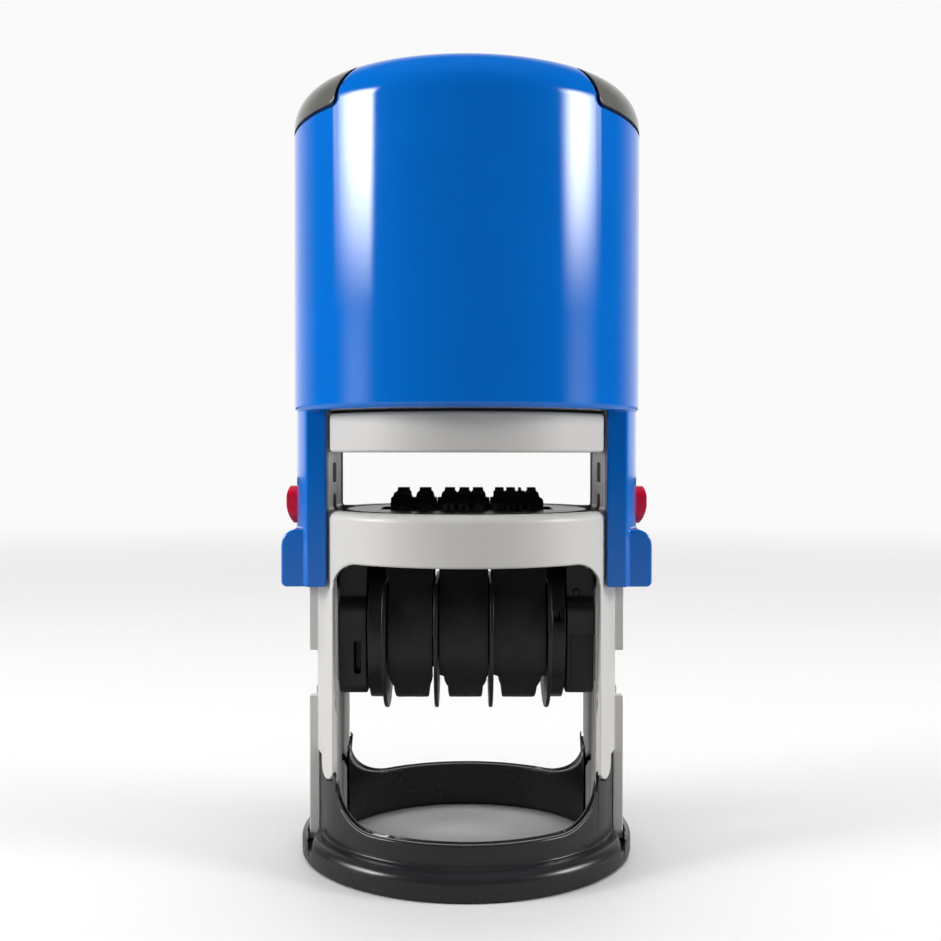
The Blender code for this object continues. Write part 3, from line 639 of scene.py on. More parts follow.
def make_base_ring():
    foot = arc((RING_R - 0.5, 0.5), 0.5, -90, 0, 4)
    rim_r, flare_r = RING_RIM_ROUND, RING_FLARE_R
    rim = arc((RING_R - rim_r, RING_RIM_Z - rim_r), rim_r, 0, 90, 12)
    flare = arc((RING_WALL_R + flare_r, RING_RIM_Z + flare_r), flare_r, 270, 180, 10)
    top = arc((RING_WALL_R - 0.4, RING_POST_Z - 0.4), 0.4, 0, 90, 5)
    inner_foot = [(RING_INNER_R, 0.3), (RING_INNER_R + 0.3, 0)]
    ring = lathe([*foot, *rim, *flare, *top, (RING_INNER_R, RING_POST_Z), *inner_foot])

    above = RING_POST_Z + 3
    corner = RING_U_CORNER_R
    bend = arc((RING_U_HALF - corner, RING_WALL_Z + corner), corner, 0, -90, 18)
    valley = prism(mirrored([(RING_U_HALF, above), *bend]), "Y", -OUT, OUT)
    seat = TONGUE_R + 0.2
    bottom = arc((TONGUE_Y, TONGUE_Z), seat, 180, 360, 20)
    scoop = [(TONGUE_Y - seat, above), *bottom, (TONGUE_Y + seat, above)]
    scoops = [prism([(hand * y, z) for y, z in scoop], "X", -OUT, OUT) for hand in (1, -1)]
    cut(ring, valley, *scoops)
    soften(ring, 0.26, weld=0.12)

    # a groove along the top of the wall, which runs out where the wall curves up into the posts
    rise, stretch = RING_WALL_Z + corner, 1 + RING_GROOVE_DEPTH / corner
    deeper = [(x, rise + (z - rise) * stretch) for x, z in bend]
    inner, outer = RING_GROOVE_R
    groove = lathe([(inner, 0), (outer, 0), (outer, rise), (inner, rise)])
    cut(ring, keep(groove, prism(mirrored(deeper), "Y", -OUT, OUT)))

    pocket_r = LEG_INNER_R + GAP
    angle = math.degrees(math.acos((WINDOW_HALF - GAP) / pocket_r))
    pocket = arc((0, 0), pocket_r, -angle, angle, 16)
    slot = slot_outline(AXLE_SLOT_HALF_Y, RING_SLOT_Z, above)
    cuts = []
    for side in (1, -1):
        cuts.append(sideways(slot, side, RING_CUT_X))
        cuts.append(prism([(side * x, y) for x, y in pocket], "Z", WALL_BOTTOM - GAP, above))
        for hand in (1, -1):
            notch_x = on(side, (RING_FLAT_X, RIB_X + 0.25))
            notch_y = on(hand, (RIB_Y[0] - GAP, RIB_Y[1] + GAP))
            cuts.append(box(notch_x, notch_y, (RIB_SPANS[0][0] - GAP, above)))
            wedge = [(side * x, hand * y) for x, y in RING_WEDGE]
            cuts.append(prism(wedge, "Z", RING_WEDGE_Z, above))
    tidy(cut(ring, *cuts))
    hand_over(ring, "base_ring", BLACK, "frame")


# ---- frame

def make_frame():
    plate_low_z, plate_top = TOP_PLATE_Z
    edge = arc((FRAME_R - 0.4, plate_top - 0.4), 0.4, 0, 90, 5)
    boss = arc((BOSS_R - 0.8, BOSS_TOP_Z - 0.8), 0.8, 0, 90, 6)
    foot = [(0, WALL_BOTTOM), (FRAME_R, WALL_BOTTOM)]
    column = lathe([*foot, *edge, (BOSS_R, plate_top), *boss, (0, BOSS_TOP_Z)])
    wall_angle = math.degrees(math.acos(LEG_INNER_X / FRAME_INNER_R))
    cavity = arc((0, 0), FRAME_INNER_R, wall_angle, 180 - wall_angle, 60)
    cavity += [(-x, -y) for x, y in cavity]
    corner = WINDOW_CORNER_R
    bend = arc((WINDOW_HALF - corner, WINDOW_TOP - corner), corner, 0, 90, 16)
    arch = mirrored([(WINDOW_HALF, -5), *bend])
    x, y = UPPER_WALL_X, UPPER_WALL_HALF_Y
    around = [(OUT, -y), (x, -y), (x, y), (OUT, y), (OUT, OUT), (-OUT, OUT)]
    around += [(-px, -py) for px, py in around]
    cut(
        column,
        prism(cavity, "Z", 0, BAND_TOP + 1),
        prism(arch, "Y", -OUT, OUT),
        prism(around, "Z", BAND_TOP, plate_low_z),
    )
    soften(column, 0.32)

    tongue = arc((TONGUE_Y, TONGUE_Z), TONGUE_R, 360, 180, 20)
    step = mirrored([(14, -1), (14, TONGUE_Z), *tongue, (TONGUE_Y - TONGUE_R, LEG_STEP_Z)])
    outer_layer = lathe([(LEG_INNER_R, -2), (24, -2), (24, 16), (LEG_INNER_R, 16)])
    cuts = [keep(prism(step, "X", -OUT, OUT), outer_layer)]
    nose_y, nose_z = (half + GAP / 2 for half in BUTTON_TIP_HALF)
    nose_hole = rounded_box(about(0, nose_y), about(BUTTON_Z, nose_z), 0.4)
    pin_top = AXLE_Z + PIN_R + 2 * GAP
    inside = WINDOW_HALF - 3
    # Each is an outline and where its cut starts and ends. The slot goes right through up to the
    # pins' highest place, and stays closed on the inside above it.
    openings = (
        (slot_outline(AXLE_SLOT_HALF_Y, *AXLE_SLOT_Z), AXLE_SLOT_SKIN_X, OUT),
        (slot_outline(AXLE_SLOT_HALF_Y, AXLE_SLOT_Z[0], pin_top), LEG_CUT_X, OUT),
        (nose_hole, LEG_CUT_X, OUT),
        (rounded_box(about(0, LOCK_HOLE_HALF_Y), LOCK_HOLE_Z, 0.4), LEG_CUT_X, OUT),
        (rounded_box(about(0, POCKET_HALF_Y), POCKET_Z, 2.0), inside, POCKET_X),
        (rounded_box(about(0, CAM_TRACK_HALF_Y), CAM_TRACK_Z, 1.5), inside, CAM_TRACK_X),
        (guide_groove(), inside, LEG_INNER_X + GUIDE_DEPTH),
    )
    ribs = []
    for side in (1, -1):
        cuts += [sideways(outline, side, start, end) for outline, start, end in openings]
        for span in RIB_SPANS:
            for hand in (1, -1):
                ribs.append(box(on(side, (RIB_INNER_X, RIB_X)), on(hand, RIB_Y), span))
    cut(column, *cuts)
    join(column, *ribs)
    soften(column, 0.12, 2)
    tidy(cut(column, band_edge_trim()))
    hand_over(column, "frame_skeleton", GREY, "frame", "frame_fine")


def band_edge_trim():
    """What rounds the outer top edge of the upper band, in front of and behind the side walls."""
    round_r, top, out = BAND_TOP_ROUND, BAND_TOP + 0.5, FRAME_R + 1
    profile = arc((FRAME_R - round_r, BAND_TOP - round_r), round_r, 90, 0, 9)
    profile += [(out, BAND_TOP - round_r), (out, top), (FRAME_R - round_r, top)]
    walls = box((-OUT, OUT), about(0, UPPER_WALL_HALF_Y + 0.4), about(BAND_TOP, 3))
    return cut(lathe(profile), walls)


def guide_groove():
    """A shallow slanted groove low on each leg's inner face, as (y, z)."""
    start, end = (Vector(place) for place in GUIDE_ENDS)
    along = (end - start).normalized()
    across = Vector((-along.y, along.x)) * GUIDE_HALF
    angle = math.degrees(math.atan2(across.y, across.x))
    first = arc(tuple(start), GUIDE_HALF, angle, angle + 180, 10)
    return first + arc(tuple(end), GUIDE_HALF, angle + 180, angle + 360, 10)


# ---- cap

def dome_profile(inset, dome_steps=26, shoulder_steps=14):
    """(radius, z) from the axis over the dome and shoulder to the side, offset inwards by inset."""
    dome, shoulder = DOME_R - inset, SHOULDER_R - inset
    dome_z = CAP_TOP_Z - DOME_R
    centre_r = CAP_R - SHOULDER_R
    centre_z = dome_z + math.sqrt((DOME_R - SHOULDER_R) ** 2 - centre_r**2)
    tangent = math.degrees(math.atan2(centre_z - dome_z, centre_r))
    top = arc((0, dome_z), dome, 90, tangent, dome_steps)
    side = arc((centre_r, centre_z), shoulder, tangent, 0, shoulder_steps)
    return [(0.0, top[0][1]), *top[1:-1], *side]


def index_region(margin):
    """The plan of the index window: a strip across the cap and a wing over each shoulder."""
    strip = WINDOW_STRIP_HALF_Y - margin
    bottom, top = WING_EDGE_Z + margin, CAP_TOP_Z + 5
    flank = [(x + margin, z + margin / 2) for x, z in bent(*WING_FLANK)]
    low_x, low_z = flank[0]
    end_x, end_z = flank[-1]
    corner = arc((low_x + WING_CORNER_R, bottom + WING_CORNER_R), WING_CORNER_R, 180, 266, 10)
    reach = 30.0
    edge_end = (reach, bottom - WING_SLOPE * (reach - low_x))
    half_length = end_x + 4
    outline = [(-strip, top), (-strip, low_z - 5), (strip, low_z - 5), (strip, top)]
    region = prism(outline, "X", -half_length, half_length)
    inner_end = (end_x - 1, end_z + 0.5)
    wing = [(inner_end[0], top + 1), inner_end, *flank[::-1], *corner, edge_end, (reach, top + 1)]
    wings = [prism([(side * x, z) for x, z in wing], "Y", -30, 30) for side in (1, -1)]
    return join(region, *wings)


def make_cap():
    outer, inner = dome_profile(0), dome_profile(DOME_WALL)
    rim = arc((CAP_R - 0.7, CAP_RIM_Z + 0.7), 0.7, 0, -90, 8)
    inside = [(CAP_INNER_R + 0.3, CAP_RIM_Z), (CAP_INNER_R, CAP_RIM_Z + 0.3)]
    shell = lathe([*outer, *rim, *inside, (CAP_INNER_R, inner[-1][1] - 2), *inner[::-1]])

    low, bulge = (FOOT_X, FOOT_TOP_Z - 2.2), (FOOT_X - 0.1, FOOT_TOP_Z - 0.25)
    foot_outline = [
        *arc((FOOT_X - 0.7, ARM_BOTTOM_Z + 0.7), 0.7, -90, 0, 6),
        *bent(low, bulge, (FOOT_X - 1.7, FOOT_TOP_Z), 8),
        (FOOT_INNER_X, FOOT_TOP_Z),
        (FOOT_INNER_X, ARM_BOTTOM_Z),
    ]
    groove_x, groove_y = (ARM_CUT_X, ARM_GROOVE_X), about(0, ARM_GROOVE_HALF_Y)
    for side in (1, -1):
        wall = sector(ARM_INNER_R, ARM_R, ARM_HALF_Y, side)
        arm = prism(wall, "Z", ARM_BOTTOM_Z, CAP_RIM_Z + 2)
        foot = [(side * x, z) for x, z in foot_outline]
        join(arm, prism(foot, "Y", -FOOT_HALF_Y, FOOT_HALF_Y))
        cut(arm, box(on(side, groove_x), groove_y, (ARM_BOTTOM_Z - 1, CAP_RIM_Z + 3)))
        soften(arm, 0.28)
        join(shell, arm)
    bottom, top = SPRING_SEAT_Z
    edge = arc((SPRING_SEAT_R - 0.6, bottom + 0.6), 0.6, -90, 0, 5)
    join(shell, lathe([(0, bottom), *edge, (SPRING_SEAT_R, top), (0, top)], 48))

    hole_y, hole_z = about(0, BUTTON_HALF_Y + 0.2), about(BUTTON_Z, BUTTON_HALF_Z + 0.2)
    button_hole = rounded_box(hole_y, hole_z, 1.7, 8)
    cuts = []
    for side in (1, -1):
        cuts.append(box(on(side, groove_x), groove_y, (ARM_BOTTOM_Z + 1, ARM_GROOVE_TOP_Z)))
        cuts.append(sideways(PIN_HOLE, side, ARM_CUT_X, pin_high.x + GAP))
        cuts.append(sideways(button_hole, side, ARM_CUT_X))
    cut(shell, *cuts)

    outside, below = 3, WING_EDGE_Z - 7
    side_wall = [(CAP_R + outside, below), (CAP_R - RECESS_DEPTH, below)]
    recess = lathe([*dome_profile(-outside), *side_wall, *dome_profile(RECESS_DEPTH)[::-1]])
    cut(shell, keep(recess, index_region(0.0)))
    soften(shell, 0.13, 2)
    hand_over(shell, "cap_shell", BLUE, "cap", "cap_fine")


def make_index_cover():
    below = WING_EDGE_Z - 5
    side_wall = [(CAP_R, below), (CAP_R - COVER_THICK, below)]
    cover = lathe([*dome_profile(0), *side_wall, *dome_profile(COVER_THICK)[::-1]])
    keep(cover, index_region(INDEX_GROOVE))
    soften(cover, 0.16, 3, weld=0.05, clamp=True)
    hand_over(cover, "index_cover", SMOKY, "index_cover")


def make_index_card():
    top = dome_profile(COVER_THICK + 0.15)
    bottom = dome_profile(COVER_THICK + 0.15 + CARD_THICK)
    low, high = box_mm("index_card")
    card = lathe([*top[:-8], *bottom[:-8][::-1]])
    keep(card, prism(rounded_box((low.x, high.x), (low.y, high.y), 2.0), "Z", 80, 120))
    hand_over(tidy(card), "index_card", PAPER, "cap")


def make_button(side, name):
    low, high = about(BUTTON_Z, BUTTON_HALF_Z)
    face = button_high.x
    outline = rounded_box(about(0, BUTTON_HALF_Y), (low, high), 1.5, 8)
    head = sideways(outline, side, BUTTON_INNER_X, face)
    # the bulging face, as (depth behind its front, distance in from its lower or upper edge)
    lower = ((1.1, -1), (0.75, 0.2), (0.4, 0.9), (0.15, 1.6), (-0.01, 2.4))
    upper = ((-0.01, 1.2), (0.15, 0.6), (0.7, -1))
    crown = [(face - depth, low + inwards) for depth, inwards in lower]
    crown += [(face - depth, high - inwards) for depth, inwards in upper]
    crown += [(OUT, high + 1), (OUT, low - 1)]
    cut(head, prism([(side * x, z) for x, z in crown], "Y", -OUT, OUT))
    soften(head, 0.28, 4, 22, weld=0.05, clamp=True)
    tip_y, tip_z = BUTTON_TIP_HALF
    tip = rounded_box(about(0, tip_y), about(BUTTON_Z, tip_z), 0.4, 4)
    join(head, sideways(tip, side, button_low.x, BUTTON_INNER_X + 0.5))
    node = f"{name}_lock_button"
    hand_over(head, node, RED, f"{name}_button")


# ---- die

def make_die_plate():
    edge, low, high = 0.35, plate_low.z, plate_high.z
    bottom = [(0, low), (PLATE_R - 0.2, low), (PLATE_R, low + 0.2)]
    top = arc((PLATE_R - edge, high - edge), edge, 0, 90, 5)
    plate = lathe([*bottom, *top, (0, high)])
    x, y = PLATE_WINDOW
    cut(plate, prism(rounded_box(about(0, x), about(0, y), 0.6), "Z", low - 1, high + 1))
    soften(plate, 0.12, 2)
    hand_over(plate, "die_plate", PLATE_BLACK, "die")


def make_die_carrier():
    top = plate_low.z - 0.2
    bulge, foot = arc(*CHEEK_BULGE, 20, -20, 6), arc(*CHEEK_FOOT, 0, -90, 6)
    cheek = mirrored([(CHEEK_NECK[0], top), CHEEK_NECK, CHEEK_SHOULDER, *bulge, CHEEK_HEEL, *foot])
    carrier = join(sideways(cheek, 1, *CHEEK_X), sideways(cheek, -1, *CHEEK_X))
    rail_x, rail_z = (-13.4, 13.4), (top - 2.0, top - 0.01)
    rails = [box(rail_x, on(hand, RAIL_Y), rail_z) for hand in (1, -1)]
    join(carrier, *rails)
    cuts = [prism(disc((0, SPINDLE_Z), SPINDLE_R + GAP), "X", -14.5, 14.5)]
    bar_hole = rounded_box(about(0, BAR_HALF_Y + GAP), (39.2, top + 3), 0.4)
    cuts.append(prism(bar_hole, "X", -13.6, 13.6))
    relief_y, relief_z, relief_x = CHEEK_RELIEF
    for side in (1, -1):
        cuts.append(sideways(PIN_HOLE, side, CHEEK_PIN_X, CHEEK_OUT_X))
        # shallow mould reliefs on the cheek's outer face, and panels on its front and back
        for hand in (-1, 1):
            relief = rounded_box(on(hand, relief_y), relief_z, 0.5)
            cuts.append(sideways(relief, side, relief_x, CHEEK_OUT_X))
        for hand in (1, -1):
            x, z, round_r, depth = CHEEK_PANELS[0 if side == hand else 1]
            panel = rounded_box(on(side, x), z, round_r)
            cuts.append(prism(panel, "Y", hand * depth, hand * 10))
    cut(carrier, *cuts)
    soften(carrier, 0.14, 2)
    stud_x, stud_y, stud_z = STUD_PLACE
    for hand in (1, -1):
        stud = lathe([(0, -0.6), (0.45, -0.6), *arc((0.2, 0), 0.25, 0, 90, 5), (0, 0.25)], 24)
        lie = Matrix.Rotation(-hand * math.pi / 2, 4, "X")
        place = Matrix.Translation((-hand * stud_x, hand * stud_y, stud_z))
        stud.data.transform(place @ lie)
        join(carrier, stud)
    hand_over(carrier, "die_carrier", DIE_BLACK, "die")


def make_print_bar():
    outline = rounded_box(about(0, BAR_HALF_Y), (bar_low.z, BAR_TOP_Z), 0.7)
    bar = prism(outline, "X", bar_low.x, bar_high.x)
    trim_x, trim_z = BAR_TRIM
    trims = [box(on(side, (trim_x, 14)), (-5, 5), (trim_z, 50)) for side in (1, -1)]
    cut(bar, *trims)
    soften(bar, 0.15, 2)
    hand_over(bar, "print_bar", DIE_BLACK, "die")


def make_rod(node, radius, height, x, body):
    """A round steel rod with chamfered ends along X."""
    chamfer = 0.25
    low, high = sorted(x)
    profile = [(0, low), (radius - chamfer, low), (radius, low + chamfer), (radius, high - chamfer)]
    rod = along_x(lathe([*profile, (radius - chamfer, high), (0, high)], 48), height)
    hand_over(soften(rod, 0.06, 2), node, STEEL_ROD, body)


def make_cam(side, name):
    node = f"{name}_flip_cam"
    cam = sideways(arc((0, AXLE_Z), cam_high.y, -60, 240, 60), side, cam_low.x, cam_high.x)
    cut(cam, sideways(PIN_HOLE, side, 15, 19))
    soften(cam, 0.1, 2)
    hand_over(cam, node, DIE_BLACK, "die")


def make_divider(name, centre):
    node = f"{name}_divider"
    low, high = box_mm(node)
    edge = math.degrees(math.asin((DIVIDER_TOP_Z - SPINDLE_Z) / DIVIDER_R))
    outline = arc((0, SPINDLE_Z), DIVIDER_R, -180 - edge, edge, 70)
    divider = prism(outline, "X", *about(centre, DIVIDER_HALF))
    if name.endswith("outer"):
        side = math.copysign(1, centre)
        reach = high.x if centre > 0 else low.x
        collar = disc((0, SPINDLE_Z), COLLAR_R, 72)
        join(divider, prism(collar, "X", centre + side * 0.1, reach))
        cut(divider, box(on(reach, COLLAR_NOTCH_SHARES), on(-side, (7.5, 12)), COLLAR_NOTCH_Z))
    cut(divider, prism(disc((0, SPINDLE_Z), SPINDLE_R + 0.25), "X", low.x - 1, high.x + 1))
    soften(divider, 0.1, 2)
    hand_over(divider, node, DIE_BLACK, "die")


def band_nose(inset):
    """The centre and radius of a band's upper corner, and the lean of the straight run below it."""
    radius = WHEEL_R + 0.3 + BAND_THICK - inset
    corner = 1.3 + BAND_THICK - inset
    nose = (BAR_HALF_Y + 0.25 + BAND_THICK - inset - corner, BAND_SURFACE_Z - inset - corner)
    run = math.hypot(nose[0], nose[1] - SPINDLE_Z)
    lean = math.degrees(math.acos((radius - corner) / run))
    rise = math.degrees(math.atan2(nose[1] - SPINDLE_Z, nose[0]))
    return nose, corner, rise - lean


def band_loop(inset):
    """(y, z) of a date band round its wheel and over the print bar, offset inwards by inset."""
    nose, corner, tangent = band_nose(inset)
    radius = WHEEL_R + 0.3 + BAND_THICK - inset
    half = arc((0, SPINDLE_Z), radius, -90, tangent, 40) + arc(nose, corner, tangent, 90, 10)
    return half + [(-y, z) for y, z in reversed(half[1:])]


def band_front(left, right, middle):
    """(x, z) outline that narrows a band where it runs round the rim of its wheel."""
    rim, web = WHEEL_RIM_HALF, WHEEL_WEB_HALF + 0.1
    bottom, step, round_r = SPINDLE_Z - WHEEL_R - 0.82, SPINDLE_Z - WHEEL_HUB_R, 0.7
    half = arc((rim - round_r, bottom + round_r), round_r, -90, 0, 6)
    half += bent((rim + 0.1, bottom + 2.5), (web, step - 1.2), (web + 0.1, step - 0.25), 6)
    right_side = [(middle + x, z) for x, z in half] + [(right, step), (right, 60)]
    left_side = [(middle - x, z) for x, z in half] + [(left, step), (left, 60)]
    return right_side + left_side[::-1]


STROKE = 0.21  # half the width of a numeral's bars
# Which bars of a seven-bar numeral are raised: top, middle, bottom, then the four uprights
NUMERALS = {
    0: (1, 0, 1, 1, 1, 1, 1),
    1: (0, 0, 0, 0, 1, 0, 1),
    2: (1, 1, 1, 0, 1, 1, 0),
    3: (1, 1, 1, 0, 1, 0, 1),
    5: (1, 1, 1, 1, 0, 0, 1),
    6: (1, 1, 1, 1, 0, 1, 1),
    8: (1, 1, 1, 1, 1, 1, 1),
}


def numeral(value, centre, half_width, half_length, foot, top):
    """A raised numeral, mirrored as on any printing face, lying flat and facing up."""
    low, high = about(centre, half_width)
    rows = (half_length - STROKE, 0, STROKE - half_length)
    bars = [((low, high), about(y, STROKE), 0.05) for y in rows]
    for y_high, y_low in zip(rows, rows[1:]):
        y = (y_low - STROKE * 0.9, y_high + STROKE * 0.9)
        bars += [((x, x + 2 * STROKE), y, 0.06) for x in (high - 2 * STROKE, low)]
    raised = [bar for bar, shown in zip(bars, NUMERALS[value]) if shown]
    return [frustum(x, y, (foot, top), taper) for x, y, taper in raised]


# Each date group: its band's left and right edges, its wheel's middle, the strip the band covers
# at the top, its plinths as (left, right, shoulder inset), and its numerals as (value, centre,
# half width)
GROUPS = {
    "day": (
        *(-10.1, -4.35, -7.15),
        (-10.15, -3.98),
        ((-10.1, -7.15, 0.42), (-6.93, -4.2, 0.3)),
        ((2, -8.46, 0.8), (5, -5.53, 0.8)),
    ),
    "month": (
        *(-3.55, 2.8, -0.15),
        (-3.93, 3.08),
        ((-3.52, 2.7, 0.22),),
        ((0, -2.25, 0.72), (8, -0.31, 0.7), (6, 1.52, 0.72)),
    ),
    "year": (
        *(3.4, 10.2, 6.87),
        (3.13, 9.98),
        ((3.44, 9.85, 0.26),),
        ((2, 4.4, 0.6), (0, 5.92, 0.6), (1, 7.28, 0.36), (3, 8.7, 0.58)),
    ),
}


def character_row(name, shelf, top):
    """One row of a band's characters, lying face up on the flat of the band."""
    strip, plinths, numerals = GROUPS[name][3:]
    foot, half_length = BAND_SURFACE_Z - 0.3, 1.45
    skirt = (foot - 0.5, BAND_SURFACE_Z + 0.12)
    row = [frustum(strip, about(0, half_length + 0.3), skirt, 0.05)]
    for left, right, inset in plinths:
        row.append(frustum((left, right), about(0, half_length + 0.15), (foot, shelf), inset))
    for value, centre, half_width in numerals:
        sides, ends = about(centre, half_width + 0.24), about(0, half_length)
        row.append(frustum(sides, ends, (shelf - 0.12, shelf + 0.2), 0.14))
        row += numeral(value, centre, half_width, half_length, shelf - 0.1, top)
    return row


def make_date_band(name):
    left, right, middle = GROUPS[name][:3]
    node = f"{name}_band"
    band = prism(band_loop(0), "X", left, right)
    cut(band, prism(band_loop(BAND_THICK), "X", left - 1, right + 1))
    keep(band, prism(band_front(left, right, middle), "Y", -15, 15))
    soften(band, 0.12, 2)
    join(band, *character_row(name, BAND_SURFACE_Z + PLINTH_RISE, CHARACTER_TOP_Z))
    # the rows before and after it lie on the band's straight runs
    (nose_y, nose_z), corner, tangent = band_nose(0)
    lean, down = math.radians(tangent), 1.15
    y = nose_y + corner * math.cos(lean) + down * math.sin(lean)
    z = nose_z + corner * math.sin(lean) - down * math.cos(lean)
    lowered = Matrix.Translation((0, 0, -BAND_SURFACE_Z))
    for hand in (1, -1):
        turn = Matrix.Rotation(-hand * (math.pi / 2 - lean), 4, "X")
        place = Matrix.Translation((0, hand * y, z)) @ turn @ lowered
        row = character_row(name, BAND_SURFACE_Z + 0.2, BAND_SURFACE_Z + 0.72)
        for part in row:
            part.data.transform(place)
        join(band, *row)
    hand_over(tidy(band, 0.005), node, RUBBER, "die")


def make_wheel(name):
    middle = GROUPS[name][2]
    node = f"{name}_wheel"
    bore = SPINDLE_R + 0.25
    low, high = box_mm(node)
    chamfer = [(WHEEL_R - 0.3, WHEEL_RIM_HALF), (WHEEL_R, WHEEL_RIM_HALF - 0.3)]
    flank = [(WHEEL_HUB_R + 0.4, WHEEL_WEB_HALF), *chamfer]
    profile = [(bore, low.x), (WHEEL_HUB_R, low.x), *((r, middle - x) for r, x in flank)]
    profile += [(r, middle + x) for r, x in flank[::-1]] + [(WHEEL_HUB_R, high.x), (bore, high.x)]
    wheel = lathe(profile, 96)
    grooves = []
    for i in range(WHEEL_TEETH):
        turn = TAU * i / WHEEL_TEETH
        place = (WHEEL_R * math.cos(turn), WHEEL_R * math.sin(turn))
        grooves.append(prism(disc(place, 0.32, 10), "Z", low.x - 1, high.x + 1))
    along_x(cut(wheel, *grooves), SPINDLE_Z)
    hand_over(soften(wheel, 0.07, 2), node, DIE_BLACK, node)


# ---- ink pad and spring

def make_drawer():
    low, high, half_x = drawer_low.z, drawer_high.z, drawer_high.x
    edge = 0.45
    side = arc((FRAME_R - edge, low + edge), edge, -90, 0, 5)
    side += arc((FRAME_R - edge, high - edge), edge, 0, 90, 5)
    drawer = lathe([(0, low), *side, (0, high)])
    keep(drawer, prism(rounded_box(about(0, half_x), (-OUT, OUT), 0.4), "Z", low - 5, high + 5))
    cut(drawer, prism(disc((0, 0), felt_high.x + GAP, 96), "Z", low - 1, felt_high.z + GAP))
    soften(drawer, 0.22, 3)
    hand_over(drawer, "pad_cartridge", GREY, "pad")


def make_felt():
    radius, low, high = felt_high.x, felt_low.z, felt_high.z
    edge, crown_rise = 0.5, 0.12
    shares = (0.15, 0.3, 0.45, 0.6, 0.75, 0.88)
    crown = [(radius * share, low + crown_rise * share**3) for share in shares]
    rim = arc((radius - edge, low + crown_rise + edge), edge, -80, 0, 6)
    pad = lathe([(0, low), *crown, *rim, (radius, high), (0, high)])
    hand_over(pad, "ink_pad", FELT, "pad")


def make_spring():
    """Round wire along a helix, with closed end turns."""
    wire, turns, sides = 0.6, 7, 14
    radius = spring_high.x - wire
    steps = turns * 48
    low, high = spring_low.z + wire, spring_high.z - wire
    points, faces = [], []
    for i in range(steps + 1):
        share = i / steps
        turn = TAU * turns * share
        centre_z = low + (high - low) * (share - math.sin(TAU * share) / TAU * 0.85)
        thick = wire * min(1.0, math.sqrt(max(0.0, min(i, steps - i) / 3)) + 0.25)
        for k in range(sides):
            angle = TAU * k / sides
            out, z = radius + thick * math.cos(angle), centre_z + thick * math.sin(angle)
            points.append((out * math.cos(turn), out * math.sin(turn), z))
    for i in range(steps):
        for k in range(sides):
            j = (k + 1) % sides
            here, there = i * sides, (i + 1) * sides
            faces.append((here + k, here + j, there + j, there + k))
    faces.append(tuple(range(sides)))
    faces.append(tuple(steps * sides + k for k in reversed(range(sides))))
    spring = solid(points, faces)
    hand_over(spring, "return_spring", STEEL_WIRE, "frame")
    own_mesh(spring)


make_base_ring()
make_frame()
make_cap()
make_index_cover()
make_index_card()
for side, name in ((-1, "left"), (1, "right")):
    make_button(side, name)
    make_cam(side, name)
    make_rod(f"{name}_axle_pin", PIN_R, AXLE_Z, (side * pin_low.x, side * pin_high.x), "die")
make_rod("wheel_spindle", SPINDLE_R, SPINDLE_Z, (spindle_low.x, spindle_high.x), "die")
make_die_plate()
make_die_carrier()
make_print_bar()
for name, centre in DIVIDER_X.items():
    make_divider(name, centre)
for name in GROUPS:
    make_date_band(name)
    make_wheel(name)
make_drawer()
make_felt()
make_spring()


# ---- stage, lights and camera

def make_floor():
    """A pale floor that fades into the backdrop's white far from the object."""
    made = Finish("pale_floor")
    gradient = made.node("ShaderNodeTexGradient", gradient_type="SPHERICAL")
    made.link(made.stretched((1 / FLOOR_FADE_R,) * 3), gradient.inputs["Vector"])
    near = remap(made.tree, gradient.outputs["Fac"], (0.15, 0.9))
    glow = made.node("ShaderNodeEmission", {"Color": BACKDROP})
    dim = made.node("ShaderNodeBsdfDiffuse", {"Color": (0.36, 0.36, 0.36, 1)})
    seen = made.node("ShaderNodeLightPath").outputs["Is Camera Ray"]
    pale = blend_shaders(made.tree, near, glow.outputs["Emission"], made.shader.outputs["BSDF"])
    surface = blend_shaders(made.tree, seen, dim.outputs["BSDF"], pale)
    made.link(surface, made.tree.nodes["Material Output"].inputs["Surface"])
    made.colour((0.715, 0.71, 0.705), 0.01, 6).roughness(0.5, 0.6, 30)
    floor = lathe([(0, -12), (2500, -12), (2500, 0), (0, 0)], 96)
    floor.data.transform(Matrix.Scale(MM, 4))
    floor.name = "floor"
    floor.data.materials.append(made.material)


def make_world():
    """White behind the object and dim in front: its sides shine and its middle stays deep."""
    world = bpy.data.worlds.new("studio")
    scene.world = world
    world.use_nodes = True
    tree = world.node_tree
    tree.nodes.clear()
    split = add_node(tree, "ShaderNodeSeparateXYZ")
    direction = add_node(tree, "ShaderNodeTexCoord").outputs["Generated"]
    tree.links.new(direction, split.inputs["Vector"])
    room = add_node(tree, "ShaderNodeBackground", {"Color": (0.97, 0.98, 1.0, 1)})
    level = remap(tree, split.outputs["Y"], (0.35, 0.98), (0.02, 1))
    tree.links.new(level, room.inputs["Strength"])
    backdrop = add_node(tree, "ShaderNodeBackground", {"Color": BACKDROP})
    seen = add_node(tree, "ShaderNodeLightPath").outputs["Is Camera Ray"]
    both = blend_shaders(tree, seen, room.outputs["Background"], backdrop.outputs["Background"])
    tree.links.new(both, add_node(tree, "ShaderNodeOutputWorld").inputs["Surface"])


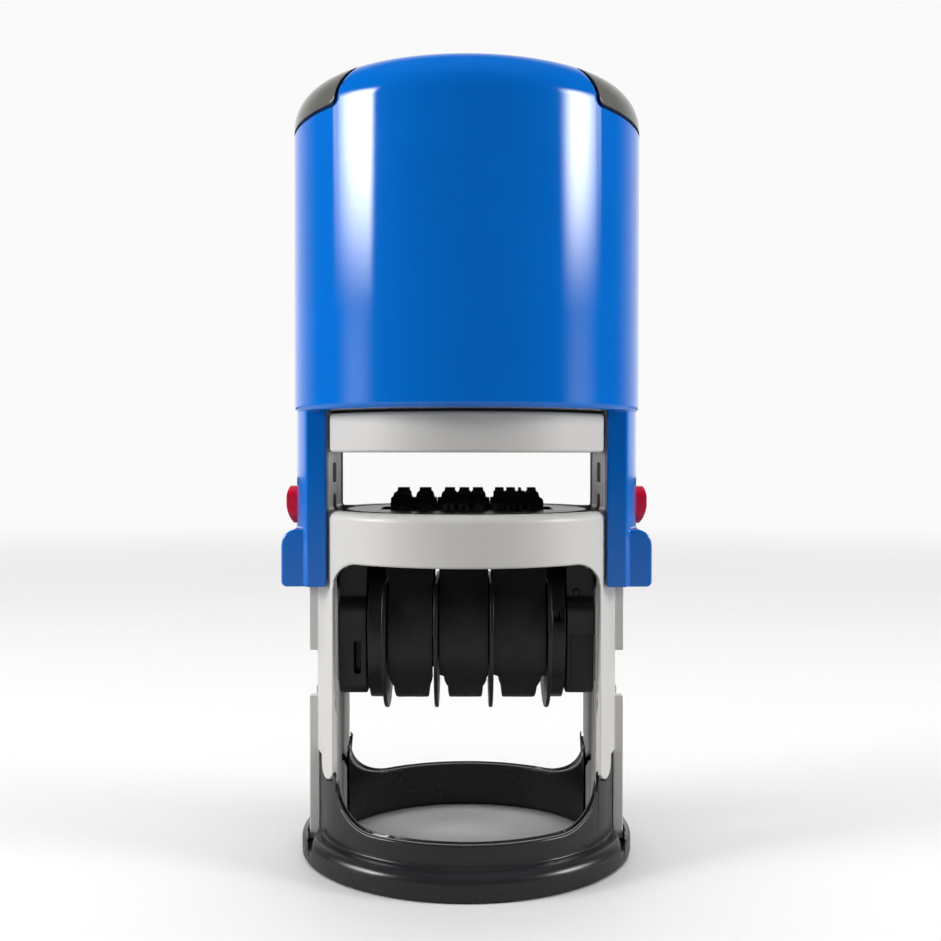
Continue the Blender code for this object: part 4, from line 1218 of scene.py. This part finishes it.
def make_light(name, place, size, power, fades=()):
    """An area light; fades is the share of it over which its left, right, bottom and top dim."""
    light = bpy.data.lights.new(name, "AREA")
    light.shape = "RECTANGLE"
    light.size, light.size_y = size
    light.energy = power
    if fades:
        light.use_nodes = True
        tree = light.node_tree
        split = add_node(tree, "ShaderNodeSeparateXYZ")
        tree.links.new(add_node(tree, "ShaderNodeTexCoord").outputs["UV"], split.inputs["Vector"])
        level = None
        for axis, edge, share in zip("XXYY", (0, 1, 0, 1), fades):
            reach = (1 - share, 1) if edge else (0, share)
            rise = remap(tree, split.outputs[axis], reach, (edge, 1 - edge))
            if level is None:
                level = rise
                continue
            product = add_node(tree, "ShaderNodeMath", operation="MULTIPLY")
            tree.links.new(level, product.inputs[0])
            tree.links.new(rise, product.inputs[1])
            level = product.outputs["Value"]
        tree.links.new(level, tree.nodes["Emission"].inputs["Strength"])
    made = bpy.data.objects.new(name, light)
    made.location = place
    aim = Vector(LIGHT_TARGET) - Vector(place)
    made.rotation_euler = aim.to_track_quat("-Z", "Y").to_euler()
    scene.collection.objects.link(made)
    return made


def polar(azimuth, height, distance=0.6):
    """A place round the object; azimuth 0 is in front of it and grows towards +X, in degrees."""
    a = math.radians(azimuth)
    return (distance * math.sin(a), -distance * math.cos(a), height)


make_floor()
make_world()
# Each side has a softbox that dims towards its rear and its foot, so that the highlights fade out
# downwards and towards the object's edge, and a dim panel under it.
make_light("left_softbox", polar(-78, 0.28), (0.43, 0.30), 9.8, fades=(0.72, 0.16, 0.42, 0.4))
make_light("left_low_panel", polar(-75, 0.095), (0.36, 0.18), 0.26, fades=(0.5, 0.4, 0.4, 0.4))
make_light("right_softbox", polar(78, 0.28), (0.42, 0.30), 8.1, fades=(0.36, 0.6, 0.42, 0.4))
make_light("right_low_panel", polar(77, 0.095), (0.36, 0.18), 0.2, fades=(0.4, 0.5, 0.4, 0.4))
# The fills light what faces sideways under the cap and overhead the floor, and neither shows as a
# reflection.
for side in (-1, 1):
    fill = make_light(f"fill_{side}", polar(side * 80, 0.06), (0.35, 0.08), 0.95)
    fill.visible_glossy = False
make_light("overhead", (0, 0.04, 0.9), (0.9, 0.9), 8.2).visible_glossy = False

camera = bpy.data.cameras.new("camera")
camera.sensor_width = 36
camera.lens = 45.64
camera.clip_start, camera.clip_end = 0.01, 20
camera_object = bpy.data.objects.new("camera", camera)
camera_object.location = (-0.000107, -0.16091, 0.05294)
camera_object.rotation_euler = (math.radians(90 - 0.844), math.radians(-0.05), math.radians(-0.22))
scene.collection.objects.link(camera_object)
scene.camera = camera_object
scene.view_settings.view_transform = "Standard"
